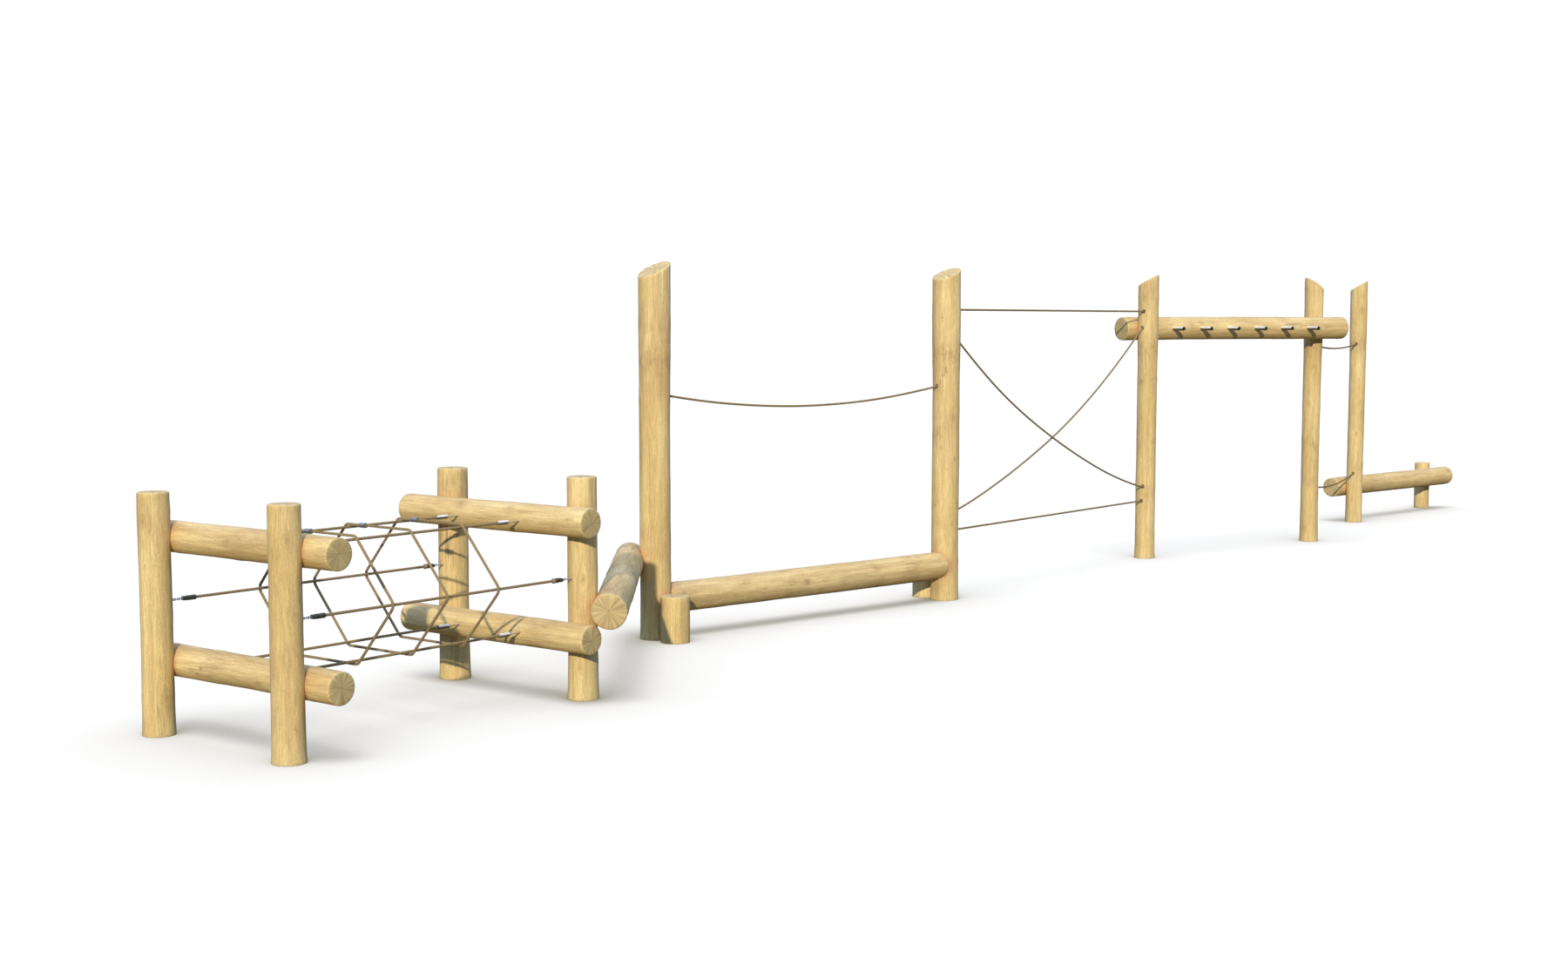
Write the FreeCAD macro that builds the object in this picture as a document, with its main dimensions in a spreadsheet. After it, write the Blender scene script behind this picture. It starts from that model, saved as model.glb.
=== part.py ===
import FreeCAD, Part
import math
import os
from FreeCAD import Placement, Rotation
from FreeCAD import Vector as V

# Timber climbing trail: a rope tunnel, a balance bay, a rope panel, an overhead log with hand
# pegs (the monkey-bar bay) and two low rungs, strung on round posts over sixteen metres.
# Frame: X runs along the trail, Y across it, Z up, origin on the ground under the middle.
# Each post is modelled from the ground up; lengths are in millimetres.

doc = FreeCAD.newDocument("climbing_trail")

# ---------------------------------------------------------------- driving dimensions
DIMENSIONS = {
    # logs; every post was picked for itself, so each has its own diameter
    "frame_a_post_left_dia": 160, "frame_a_post_right_dia": 160,
    "frame_b_post_left_dia": 176, "frame_b_post_right_dia": 168,
    "tall_post_1_dia": 208, "tall_post_2_dia": 206, "tall_post_3_dia": 172,
    "tall_post_4_dia": 166, "tall_post_5_dia": 164, "end_post_dia": 160,
    "net_post_height": 1250, "tall_post_height": 2500, "end_post_height": 505,
    "stub_dia": 196, "stub_height": 308,
    "crossbeam_dia": 165, "crossbeam_length": 1478,
    "upper_beam_z": 1010, "lower_beam_z": 365,
    "link_log_dia": 200, "link_log_length": 2500, "link_log_z": 520, "link_log_start": -215,
    "link_off_frame_post": 160, "link_off_tall_post": 180,
    "balance_beam_dia": 206, "balance_beam_z": 262, "balance_trim": 61,
    "overhead_dia": 205, "overhead_length": 2585, "overhead_z": 2025, "overhead_start": -172,
    "end_beam_dia": 195, "end_beam_length": 2330, "end_beam_z": 360, "end_beam_start": -190,
    "log_offset": 155, "edge_round": 9, "notch_gap": 0.2,
    # frames of the rope tunnel
    "origin_ahead": 8002.3, "tunnel_side": -7.5,
    "frame_pitch": 2037, "post_half_gap": 523, "beam_offset": 135,
    # pegs
    "peg_dia": 34, "peg_wall": 2.6, "peg_length": 474, "peg_pitch": 315, "peg_first": 333,
    "peg_count": 6,
    "cap_flange": 3, "cap_plug": 12,
    # ropes
    "rope_dia": 16, "net_top_z": 1001, "net_bottom_z": 374, "net_half_width": 246,
    "side_rope_z": 686, "side_rope_y": 518,
    "hoop_pitch": 365, "hoop_bend": 34, "hoop_gap": 0.4,
    # rope fittings
    "sleeve_dia": 24, "sleeve_length": 78, "stud_dia": 10, "stud_length": 160, "stud_grip": 56,
    "stud_in_sleeve": 18, "rope_in_sleeve": 20,
    "ferrule_dia": 26, "ferrule_long": 77, "ferrule_short": 48, "fork_depth": 26, "fork_slot": 15,
    "fork_lip": 8, "pin_to_rope_a": 40, "pin_to_rope_b": 30,
    "knob_dia": 30, "knob_gap": 0.5, "pin_dia": 6, "pin_proud": 2, "pin_offset": 83.65,
    "chain_wire": 4, "chain_inner": 14, "chain_width": 6, "chain_play": 0.35, "chain_links": 5,
    "eye_wire": 5, "eye_ring": 9, "eye_centre": 12, "eye_shank": 55, "eye_stem": 6,
    "clamp_dia": 27, "clamp_length": 46, "clamp_wall": 16, "clamp_side": 118,
    "socket_dia": 36, "socket_back": 14, "socket_front": 14, "socket_depth": 22,
    "flare_start": 4, "flare_narrow": 10, "flare_wide": 13.8,
    "ball_dia": 22, "ball_gap": 0.4,
    # joint screws and dowels
    "screw_dia": 12, "screw_flange": 30, "screw_hex": 19, "screw_head": 8,
    "frame_screw_length": 180, "log_screw_length": 215, "head_sink": 20, "head_room": 4,
    "dowel_dia": 20, "dowel_length": 130,
    # clearances: a fitted bore, a drilled hole and a socket's bore over what they hold, a blind
    # end beyond what it holds, and how far a tool stands out of the face that it opens
    "fit_play": 0.2, "hole_play": 0.4, "socket_play": 0.6, "end_room": 1, "tool_reach": 120,
}
sheet = doc.addObject("Spreadsheet::Sheet", "size")
for row, (alias, value) in enumerate(DIMENSIONS.items(), start=1):
    sheet.set("A%d" % row, alias)
    sheet.set("B%d" % row, str(value))
    sheet.setAlias("B%d" % row, alias)
doc.recompute()


def size(alias):
    return float(sheet.get(alias))


# ---------------------------------------------------------------- ground plan
# Post centres are set out from the middle of frame a: (ahead, to the left).
X0, Y0 = -size("origin_ahead"), size("tunnel_side")
HALF = size("post_half_gap")
PITCH = size("frame_pitch")
PLAY = size("fit_play")
ROOM = size("end_room")
REACH = "size.tool_reach"
PLAN = {
    "frame_a_post_left": (0, HALF), "frame_a_post_right": (0, -HALF),
    "frame_b_post_left": (PITCH, HALF), "frame_b_post_right": (PITCH, -HALF),
    "tall_post_1": (3843, 535), "tall_post_2": (6568, 37), "tall_post_3": (9824, 56),
    "tall_post_4": (11969, -562), "tall_post_5": (13934, -215), "end_post": (15877, -221),
}


def tunnel(ahead, side, height):
    """A point set out from the middle of frame a."""
    return V(X0 + ahead, Y0 + side, height)


def plan(post):
    return tunnel(*PLAN[post], 0)


class Run:
    """A level line past or between two posts: along, to the left and up are its own axes."""

    def __init__(self, first, second, first_offset=0.0, second_offset=0.0):
        a, b = plan(first), plan(second)
        span = b - a
        turn = math.asin((second_offset - first_offset) / span.Length)
        heading = math.atan2(span.y, span.x) + turn
        self.ahead = V(math.cos(heading), math.sin(heading), 0)
        self.left = V(-self.ahead.y, self.ahead.x, 0)
        self.start = a + self.left * first_offset
        self.length = span.Length * math.cos(turn)

    def at(self, along, side=0.0, height=0.0):
        return self.start + self.ahead * along + self.left * side + V(0, 0, height)


# ---------------------------------------------------------------- small builders
FOOT_ZONE = 50          # the sawn edges below this height stay sharp
BEND_SHARE = 0.45       # a rope's bend takes at most this share of the shorter run beside it
parts = []


def node(obj, label):
    """Name a finished sub-part; its label is its file name."""
    obj.Label = label
    parts.append(obj)
    return obj


def facing(direction, at):
    return Placement(at, Rotation(V(0, 0, 1), direction))


def rod(name, at, direction, dia, length):
    """A round bar whose diameter and length are sheet expressions."""
    obj = doc.addObject("Part::Cylinder", name)
    obj.setExpression("Radius", "(%s) / 2" % dia)
    obj.setExpression("Height", length)
    obj.Placement = facing(direction, at)
    return obj


def ball(name, at, dia):
    obj = doc.addObject("Part::Sphere", name)
    obj.setExpression("Radius", "(%s) / 2" % dia)
    obj.Placement.Base = at
    return obj


def fuse(name, shapes):
    obj = doc.addObject("Part::MultiFuse", name)
    obj.Shapes = shapes
    return obj


def cut(name, base, tools):
    obj = doc.addObject("Part::Cut", name)
    obj.Base = base
    obj.Tool = tools[0] if len(tools) == 1 else fuse(name + "_tools", tools)
    return obj


def rounded(name, base, wanted):
    """Round the end edges of a log; wanted picks them by their centre of gravity."""
    doc.recompute()
    obj = doc.addObject("Part::Fillet", name)
    obj.Base = base
    radius = size("edge_round")
    obj.Edges = [(i, radius, radius) for i, edge in enumerate(base.Shape.Edges, start=1)
                 if len(edge.Vertexes) == 1 and wanted(edge.CenterOfGravity)]
    return obj


def copies(label, prototype, places):
    """Identical small pieces share one node, one placed copy of the prototype each."""
    doc.recompute()
    group = []
    for i, place in enumerate(places, start=1):
        piece = doc.addObject("Part::Feature", "%s_%d" % (label, i))
        piece.Shape = prototype.Shape
        piece.Placement = place.multiply(prototype.Placement)
        group.append(piece)
    obj = doc.addObject("Part::Compound", label + "_set")
    obj.Links = group
    return node(obj, label)


def cord(label, points, bend=None):
    """A rope along hand-set points: straight runs joined by tangent arcs, one round section."""
    edges = []
    here = points[0]
    tightest = None
    for before, corner, after in zip(points, points[1:], points[2:]):
        back, ahead = before - corner, after - corner
        turn = math.pi - back.getAngle(ahead)
        trim = BEND_SHARE * min(back.Length, ahead.Length)
        radius = trim / math.tan(turn / 2)
        if bend and radius > bend:
            radius = bend
            trim = bend * math.tan(turn / 2)
        back.normalize()
        ahead.normalize()
        enter, leave = corner + back * trim, corner + ahead * trim
        middle = (back + ahead).normalize()
        crest = corner + middle * (radius / math.cos(turn / 2) - radius)
        edges.append(Part.LineSegment(here, enter).toShape())
        edges.append(Part.Arc(enter, crest, leave).toShape())
        here = leave
        tightest = radius if tightest is None else min(tightest, radius)
    edges.append(Part.LineSegment(here, points[-1]).toShape())
    spine = Part.Wire(edges)
    start = (points[1] - points[0]).normalize()
    disc = Part.Wire(Part.makeCircle(size("rope_dia") / 2, points[0], start))
    tube = spine.makePipeShell([disc], True, True)
    ideal = math.pi * size("rope_dia") ** 2 / 4 * spine.Length
    print("%s: length %.0f mm, tightest radius %.0f mm, volume %.4f of section x length"
          % (label, spine.Length, tightest or 0, tube.Volume / ideal))
    obj = doc.addObject("Part::Feature", label + "_tube")
    obj.Shape = tube
    return node(obj, label)


# ---------------------------------------------------------------- runs
ALONG, LEFT, UP = V(1, 0, 0), V(0, 1, 0), V(0, 0, 1)
LOG_OFFSET = size("log_offset")
LINK = Run("frame_b_post_right", "tall_post_1",
           -size("link_off_frame_post"), size("link_off_tall_post"))
BALANCE = Run("tall_post_1", "tall_post_2")
PANEL = Run("tall_post_2", "tall_post_3")
OVERHEAD = Run("tall_post_3", "tall_post_4", LOG_OFFSET, -LOG_OFFSET)
RUNGS = Run("tall_post_4", "tall_post_5")
END = Run("tall_post_5", "end_post", LOG_OFFSET, -LOG_OFFSET)

FRAMES = {
    "a": {"ahead": 0, "side": 1, "beam_y": -20},
    "b": {"ahead": PITCH, "side": -1, "beam_y": 19},
}


def post_dia(post):
    return size(post + "_dia")


LEVELS = {"upper": size("upper_beam_z"), "lower": size("lower_beam_z")}


def beam_ahead(frame):
    return FRAMES[frame]["ahead"] + FRAMES[frame]["side"] * size("beam_offset")


# ---------------------------------------------------------------- joint screws
def screw_prototype(name, length):
    """Coach screw with a flanged hexagon head; the head seat is at z = 0, the shank points down."""
    shank = rod(name + "_shank", V(0, 0, 0), V(0, 0, -1), "size.screw_dia", length)
    flange = rod(name + "_flange", V(0, 0, 0), UP, "size.screw_flange", "size.screw_head / 4")
    head = doc.addObject("Part::Prism", name + "_hex")
    head.Polygon = 6
    head.setExpression("Circumradius", "size.screw_hex / 1.732")
    head.setExpression("Height", "size.screw_head")
    return fuse(name, [shank, flange, head])


def screw_hole(name, seat, outward, length):
    """Clearance for a screw: the shank bore and the sunk seat for its head."""
    bore = rod(name + "_bore", seat + outward * PLAY / 2, outward * -1,
               "size.screw_dia + size.hole_play", length + " + size.end_room")
    well = rod(name + "_well", seat, outward, "size.screw_flange + size.head_room", REACH)
    return [bore, well]


FRAME_SCREWS = []   # (seat, outward direction, the two pieces that it joins)
for frame, data in FRAMES.items():
    for level, z in LEVELS.items():
        for side, y in (("left", HALF), ("right", -HALF)):
            post = "frame_%s_post_%s" % (frame, side)
            beam = "frame_%s_beam_%s" % (frame, level)
            if frame == "a":
                face = beam_ahead(frame) + size("crossbeam_dia") / 2
            else:
                face = data["ahead"] + post_dia(post) / 2
            FRAME_SCREWS.append((tunnel(face - size("head_sink"), y, z), ALONG, (post, beam)))


def log_screw(run, post, along, height, outward, log, reach):
    """A screw across a log and its post; the seat is reach from the log's axis."""
    seat = run.at(along, 0, height) + outward * (reach - size("head_sink"))
    return (seat, outward, (post, log))


LOG_SCREWS = [
    log_screw(LINK, "frame_b_post_right", 0, size("link_log_z"), LINK.left * -1,
              "link_log", size("link_log_dia") / 2),
    log_screw(LINK, "tall_post_1", LINK.length, size("link_log_z"), LINK.left,
              "link_log", size("link_log_dia") / 2),
    log_screw(OVERHEAD, "tall_post_3", 0, size("overhead_z"), OVERHEAD.left,
              "overhead_log", size("overhead_dia") / 2),
    log_screw(OVERHEAD, "tall_post_4", OVERHEAD.length, size("overhead_z"), OVERHEAD.left,
              "overhead_log", LOG_OFFSET + post_dia("tall_post_4") / 2),
    log_screw(END, "tall_post_5", 0, size("end_beam_z"), END.left,
              "end_beam", size("end_beam_dia") / 2),
    log_screw(END, "end_post", END.length, size("end_beam_z"), END.left,
              "end_beam", LOG_OFFSET + post_dia("end_post") / 2),
]


def screw_holes(piece):
    tools = []
    for kind, screws, length in (("frame", FRAME_SCREWS, "size.frame_screw_length"),
                                 ("log", LOG_SCREWS, "size.log_screw_length")):
        for i, (seat, outward, joined) in enumerate(screws, start=1):
            if piece in joined:
                tools += screw_hole("%s_%s_screw_%d" % (piece, kind, i), seat, outward, length)
    return tools


# ---------------------------------------------------------------- rope ends in posts
ROPE_ENDS = []   # (post, ball centre, direction out of the post along the hinge line, body)


def rope_line(body, first, second, run, heights, side=0.0):
    """Two ball ends on the line that a rope hangs from, sunk below the posts' surfaces."""
    radii = [post_dia(p) / 2 - size("socket_depth") for p in (first, second)]
    a = run.at(radii[0], side, heights[0])
    b = run.at(run.length - radii[1], side, heights[1])
    out = (b - a).normalize()
    ROPE_ENDS.append((first, a, out, body))
    ROPE_ENDS.append((second, b, out * -1, body))
    return a, b


# Each rope hangs between the first and the last point; the points between are (along, height).
HANGING = {
    "hand_rope": (BALANCE, ("tall_post_1", "tall_post_2"), 0, (1616, 1614), [
        (140, 1606), (330, 1578), (540, 1552), (760, 1532), (990, 1517), (1220, 1508), (1450, 1507),
        (1680, 1512), (1910, 1524), (2130, 1542), (2340, 1566), (2520, 1590), (2630, 1606)]),
    "cross_rope_1": (PANEL, ("tall_post_2", "tall_post_3"), -13, (1995, 631), [
        (140, 1954), (290, 1850), (480, 1723), (680, 1598), (880, 1484), (1080, 1380), (1290, 1279),
        (1500, 1185), (1710, 1096), (1920, 1012), (2130, 933), (2340, 858), (2550, 790),
        (2760, 730), (2950, 682), (3100, 648)]),
    "cross_rope_2": (PANEL, ("tall_post_2", "tall_post_3"), 13, (640, 2041), [
        (150, 655), (310, 691), (500, 744), (710, 808), (920, 877), (1130, 951), (1340, 1030),
        (1550, 1113), (1750, 1199), (1950, 1294), (2150, 1396), (2350, 1505), (2550, 1622),
        (2750, 1746), (2930, 1864), (3080, 1966)]),
    "link_rope_upper": (RUNGS, ("tall_post_4", "tall_post_5"), 0, (1860, 1849), [
        (120, 1856), (290, 1842), (500, 1830), (720, 1821), (950, 1817), (1180, 1817), (1400, 1821),
        (1610, 1829), (1780, 1838), (1890, 1845)]),
    "link_rope_lower": (RUNGS, ("tall_post_4", "tall_post_5"), 0, (512, 508), [
        (120, 507), (290, 490), (500, 474), (720, 463), (950, 459), (1180, 460), (1400, 467),
        (1610, 480), (1780, 495), (1890, 505)]),
}
TAUT = {
    "panel_rope_top": (PANEL, ("tall_post_2", "tall_post_3"), (2184, 2177)),
    "panel_rope_bottom": (PANEL, ("tall_post_2", "tall_post_3"), (516, 510)),
}
ANCHORS = {}
for rope, (run, posts, side, heights, _) in HANGING.items():
    ANCHORS[rope] = rope_line(rope, posts[0], posts[1], run, heights, side)
for rope, (run, posts, heights) in TAUT.items():
    ANCHORS[rope] = rope_line(rope, posts[0], posts[1], run, heights)


def socket_bores(post):
    """Blind bores for the rope sockets of one post, open at its surface."""
    tools = []
    for i, (owner, centre, out, _) in enumerate(ROPE_ENDS, start=1):
        if owner == post:
            base = centre - out * (size("socket_back") + size("socket_play") / 2)
            tools.append(rod("%s_socket_bore_%d" % (post, i), base, out,
                             "size.socket_dia + size.socket_play", REACH))
    return tools


# ---------------------------------------------------------------- posts
SAW_ROOM = 40           # a slanted post is cut from a log that is longer by this much
WASTE_SIDE, WASTE_HEIGHT = 900, 400


def post_blank(name, height, slope=None):
    """An upright log with a softened top; slope is (degrees, heading) of a slanting top."""
    blank = rod(name + "_log", plan(name), UP, "size.%s_dia" % name, height)
    if slope:
        degrees, heading = slope
        radius = post_dia(name) / 2
        rise = V(math.cos(math.radians(heading)), math.sin(math.radians(heading)), 0)
        crest = plan(name) + rise * radius + V(0, 0, size("tall_post_height"))
        lid = doc.addObject("Part::Box", name + "_waste")
        lid.Length = WASTE_SIDE
        lid.Width = WASTE_SIDE
        lid.Height = WASTE_HEIGHT
        tilt = Rotation(V(-rise.y, rise.x, 0), -degrees)
        lid.Placement = Placement(crest - tilt.multVec(V(WASTE_SIDE, WASTE_SIDE, 0) / 2), tilt)
        blank = cut(name + "_slanted", blank, [lid])
    return rounded(name + "_rounded", blank, lambda c: c.z > FOOT_ZONE)


def side_eye_holes(post):
    """Blind holes for the eye screws that hold the side chains of the rope tunnel."""
    for frame, data in FRAMES.items():
        for side, sign in (("left", 1), ("right", -1)):
            if post == "frame_%s_post_%s" % (frame, side):
                out = ALONG * data["side"]
                mouth = tunnel(data["ahead"], sign * size("side_rope_y"), size("side_rope_z"))
                mouth += out * (post_dia(post) / 2 - size("eye_shank"))
                return [rod(post + "_eye_hole", mouth, out, "size.eye_stem + size.hole_play",
                            REACH)]
    return []


def dowel_at(post):
    """The balance beam stands off each wide post on a steel dowel."""
    run_end = {"tall_post_1": (0, 1), "tall_post_2": (BALANCE.length, -1)}
    along, sign = run_end[post]
    start = along + sign * (post_dia(post) / 2 - size("dowel_length") / 2)
    return BALANCE.at(start, 0, size("balance_beam_z")), BALANCE.ahead * sign


def finish_post(name, blank):
    tools = screw_holes(name) + socket_bores(name) + side_eye_holes(name)
    if name in ("tall_post_1", "tall_post_2"):
        at, out = dowel_at(name)
        tools.append(rod(name + "_dowel_bore", at - out * PLAY, out,
                         "size.dowel_dia + size.fit_play", REACH))
    node(cut(name + "_bored", blank, tools), name)


# slant of each tall post's sawn top: (degrees, heading of the high side)
SLANTS = {
    "tall_post_1": (27.5, -8), "tall_post_2": (24, -9), "tall_post_3": (30, -71),
    "tall_post_4": (35, 139), "tall_post_5": (31, -70),
}
for name in PLAN:
    if name.startswith("frame"):
        finish_post(name, post_blank(name, "size.net_post_height"))
    elif name == "end_post":
        finish_post(name, post_blank(name, "size.end_post_height"))
    else:
        finish_post(name, post_blank(name, "size.tall_post_height + %d" % SAW_ROOM,
                                     SLANTS[name]))

for label, post, along, side in (("step_stub_1", "tall_post_1", 0, -1),
                                 ("step_stub_2", "tall_post_2", BALANCE.length, 1)):
    reach = (post_dia(post) + size("stub_dia")) / 2 + size("notch_gap")
    log = rod(label + "_log", BALANCE.at(along, side * reach), UP,
              "size.stub_dia", "size.stub_height")
    node(rounded(label + "_rounded", log, lambda c: c.z > FOOT_ZONE), label)


# ---------------------------------------------------------------- level logs
def stud_holes(frame, level):
    """Blind holes in a crossbeam for the studs of its two net ropes."""
    out = ALONG * FRAMES[frame]["side"]
    z = size("net_top_z") if level == "upper" else size("net_bottom_z")
    tools = []
    for sign in (1, -1):
        start = tunnel(beam_ahead(frame), sign * size("net_half_width"), z)
        start += out * (size("crossbeam_dia") / 2 - size("stud_grip") - PLAY)
        tools.append(rod("frame_%s_%s_stud_hole_%d" % (frame, level, sign + 2), start, out,
                         "size.stud_dia + size.hole_play", REACH))
    return tools


for frame, data in FRAMES.items():
    for level, z in LEVELS.items():
        label = "frame_%s_beam_%s" % (frame, level)
        start = tunnel(beam_ahead(frame), data["beam_y"] - size("crossbeam_length") / 2, z)
        log = rod(label + "_log", start, LEFT, "size.crossbeam_dia", "size.crossbeam_length")
        blank = rounded(label + "_rounded", log, lambda c: True)
        seats = ["frame_%s_post_%s" % (frame, side) for side in ("left", "right")]
        notches = [rod("%s_notch_%s" % (label, post), plan(post), UP,
                       "size.%s_dia + 2 * size.notch_gap" % post, "size.net_post_height")
                   for post in seats]
        node(cut(label + "_cut", blank, notches + screw_holes(label) + stud_holes(frame, level)),
             label)


def level_log(label, run, shape, seats):
    """A log laid past two posts, and the tools for its notches and screws."""
    start = run.at(size(shape + "_start"), 0, size(shape + "_z"))
    log = rod(label + "_log", start, run.ahead, "size.%s_dia" % shape, "size.%s_length" % shape)
    blank = rounded(label + "_rounded", log, lambda c: True)
    notches = [rod("%s_notch_%s" % (label, post), plan(post), UP,
                   "size.%s_dia + 2 * size.notch_gap" % post, "size.tall_post_height")
               for post in seats]
    return blank, notches + screw_holes(label)


blank, tools = level_log("link_log", LINK, "link_log", ("frame_b_post_right", "tall_post_1"))
node(cut("link_log_cut", blank, tools), "link_log")

blank, tools = level_log("end_beam", END, "end_beam", ("tall_post_5", "end_post"))
node(cut("end_beam_cut", blank, tools), "end_beam")

PEGS = [OVERHEAD.at(size("peg_first") + i * size("peg_pitch"), 0, size("overhead_z"))
        for i in range(int(size("peg_count")))]
HALF_PEG = size("peg_length") / 2
blank, tools = level_log("overhead_log", OVERHEAD, "overhead", ("tall_post_3", "tall_post_4"))
tools += [rod("peg_bore_%d" % i, peg - OVERHEAD.left * HALF_PEG, OVERHEAD.left,
              "size.peg_dia + size.fit_play", "size.peg_length")
          for i, peg in enumerate(PEGS, start=1)]
node(cut("overhead_log_cut", blank, tools), "overhead_log")

# The balance beam is sawn square a little short of its posts' centres and hollowed to fit them.
log = rod("balance_beam_log", BALANCE.at(size("balance_trim"), 0, size("balance_beam_z")),
          BALANCE.ahead, "size.balance_beam_dia", "%.3f - 2 * size.balance_trim" % BALANCE.length)
tools = [rod("balance_cope_%d" % i, plan("tall_post_%d" % i), UP,
             "size.tall_post_%d_dia + 2 * size.notch_gap" % i, "size.tall_post_height")
         for i in (1, 2)]
for post in ("tall_post_1", "tall_post_2"):
    at, out = dowel_at(post)
    tools.append(rod("beam_dowel_bore_" + post, at, out, "size.dowel_dia + size.fit_play",
                     "size.dowel_length + size.fit_play"))
node(cut("balance_beam_cut", log, tools), "balance_beam")

dowel = rod("dowel", V(0, 0, 0), UP, "size.dowel_dia", "size.dowel_length")
copies("balance_beam_dowels", dowel,
       [facing(dowel_at(post)[1], dowel_at(post)[0]) for post in ("tall_post_1", "tall_post_2")])

# ---------------------------------------------------------------- hand pegs
tube = cut("peg_tube", rod("peg_outer", V(0, 0, 0), UP, "size.peg_dia", "size.peg_length"),
           [rod("peg_inner", V(0, 0, -ROOM), UP, "size.peg_dia - 2 * size.peg_wall",
                "size.peg_length + 2 * size.end_room")])
copies("hand_pegs", tube, [facing(OVERHEAD.left, peg - OVERHEAD.left * HALF_PEG) for peg in PEGS])

plug = rod("cap_shank", V(0, 0, 0), V(0, 0, -1),
           "size.peg_dia - 2 * size.peg_wall - size.fit_play", "size.cap_plug")
rim = rod("cap_rim", V(0, 0, 0), UP, "size.peg_dia", "size.cap_flange")
cap = fuse("peg_cap", [plug, rim])
cap_reach = HALF_PEG + PLAY / 2
copies("peg_caps", cap, [facing(OVERHEAD.left * sign, peg + OVERHEAD.left * sign * cap_reach)
                         for peg in PEGS for sign in (1, -1)])

# ---------------------------------------------------------------- screws
frame_screw = screw_prototype("frame_screw", "size.frame_screw_length")
copies("frame_screws", frame_screw, [facing(out, seat) for seat, out, _ in FRAME_SCREWS])
log_screw_master = screw_prototype("long_screw", "size.log_screw_length")
copies("log_screws", log_screw_master, [facing(out, seat) for seat, out, _ in LOG_SCREWS])

# ---------------------------------------------------------------- rope tunnel
A_FACE = beam_ahead("a") + size("crossbeam_dia") / 2
B_FACE = beam_ahead("b") - size("crossbeam_dia") / 2
NET_ROWS = {
    "top_left": (1, "net_top_z"), "top_right": (-1, "net_top_z"),
    "bottom_left": (1, "net_bottom_z"), "bottom_right": (-1, "net_bottom_z"),
}
# from a beam's face to where a sleeve starts round its stud, and to where its rope ends
SLEEVE_AT = size("stud_length") - size("stud_grip") - size("stud_in_sleeve")
ROPE_AT = SLEEVE_AT + size("rope_in_sleeve")
studs, sleeves = [], []
for row, (sign, level) in NET_ROWS.items():
    y, z = sign * size("net_half_width"), size(level)
    start = A_FACE + ROPE_AT
    stop = B_FACE - ROPE_AT
    rope = rod("net_rope_%s_cord" % row, tunnel(start, y, z), ALONG, "size.rope_dia",
               "%.3f" % (stop - start))
    node(rope, "net_rope_" + row)
    for face, out in ((A_FACE, ALONG), (B_FACE, ALONG * -1)):
        studs.append(facing(out, tunnel(face, y, z) - out * size("stud_grip")))
        sleeves.append(facing(out, tunnel(face, y, z) + out * SLEEVE_AT))

stud = rod("net_stud", V(0, 0, 0), UP, "size.stud_dia", "size.stud_length")
copies("net_studs", stud, studs)
sleeve = cut("net_sleeve", rod("sleeve_body", V(0, 0, 0), UP, "size.sleeve_dia",
                               "size.sleeve_length"),
             [rod("sleeve_rope_bore", V(0, 0, size("rope_in_sleeve") - PLAY / 2), UP,
                  "size.rope_dia + size.fit_play", REACH),
              rod("sleeve_stud_bore", V(0, 0, -ROOM), UP, "size.stud_dia + size.fit_play",
                  "size.stud_in_sleeve + size.end_room + size.fit_play")])
copies("net_sleeves", sleeve, sleeves)

# Side ropes: eye screw, chain, forked ferrule with a pin, rope; a knob stops the rope at frame b.
SIDES = {"left": 1, "right": -1}


def pin_ahead(frame, side):
    """Where a ferrule's pin stands: a chain's length off the post's face."""
    reach = post_dia("frame_%s_post_%s" % (frame, side)) / 2 + size("pin_offset")
    return reach if frame == "a" else PITCH - reach


SHORT_REACH = size("ferrule_short") - size("fork_lip")     # from the pin to the ferrule's end
for side, sign in SIDES.items():
    start = pin_ahead("a", side) + size("pin_to_rope_a")
    stop = pin_ahead("b", side) - size("pin_to_rope_b")
    rope = rod("net_rope_side_%s_cord" % side,
               tunnel(start, sign * size("side_rope_y"), size("side_rope_z")), ALONG,
               "size.rope_dia", "%.3f" % (stop - start))
    node(rope, "net_rope_side_" + side)


def forked_ferrule(name, length, rope_at):
    """A ferrule with a slotted fork; the pin's axis is at z = 0 and the rope is above it."""
    body = rod(name + "_body", V(0, 0, -size("fork_lip")), UP, "size.ferrule_dia", length)
    slot = doc.addObject("Part::Box", name + "_slot")
    slot.setExpression("Length", "2 * size.ferrule_dia")
    slot.setExpression("Width", "size.fork_slot")
    slot.setExpression("Height", "size.fork_depth")
    slot.Placement.Base = V(-size("ferrule_dia"), -size("fork_slot") / 2, -size("fork_lip") - ROOM)
    bore = rod(name + "_rope_bore", V(0, 0, rope_at - PLAY / 2), UP,
               "size.rope_dia + size.fit_play", REACH)
    pin = rod(name + "_pin_bore", V(0, -size("ferrule_dia"), 0), LEFT,
              "size.pin_dia + size.fit_play", "2 * size.ferrule_dia")
    return cut(name, body, [slot, bore, pin])


def side_places(frame):
    out = ALONG * FRAMES[frame]["side"]
    return [facing(out, tunnel(pin_ahead(frame, side), sign * size("side_rope_y"),
                               size("side_rope_z")))
            for side, sign in SIDES.items()]


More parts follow.
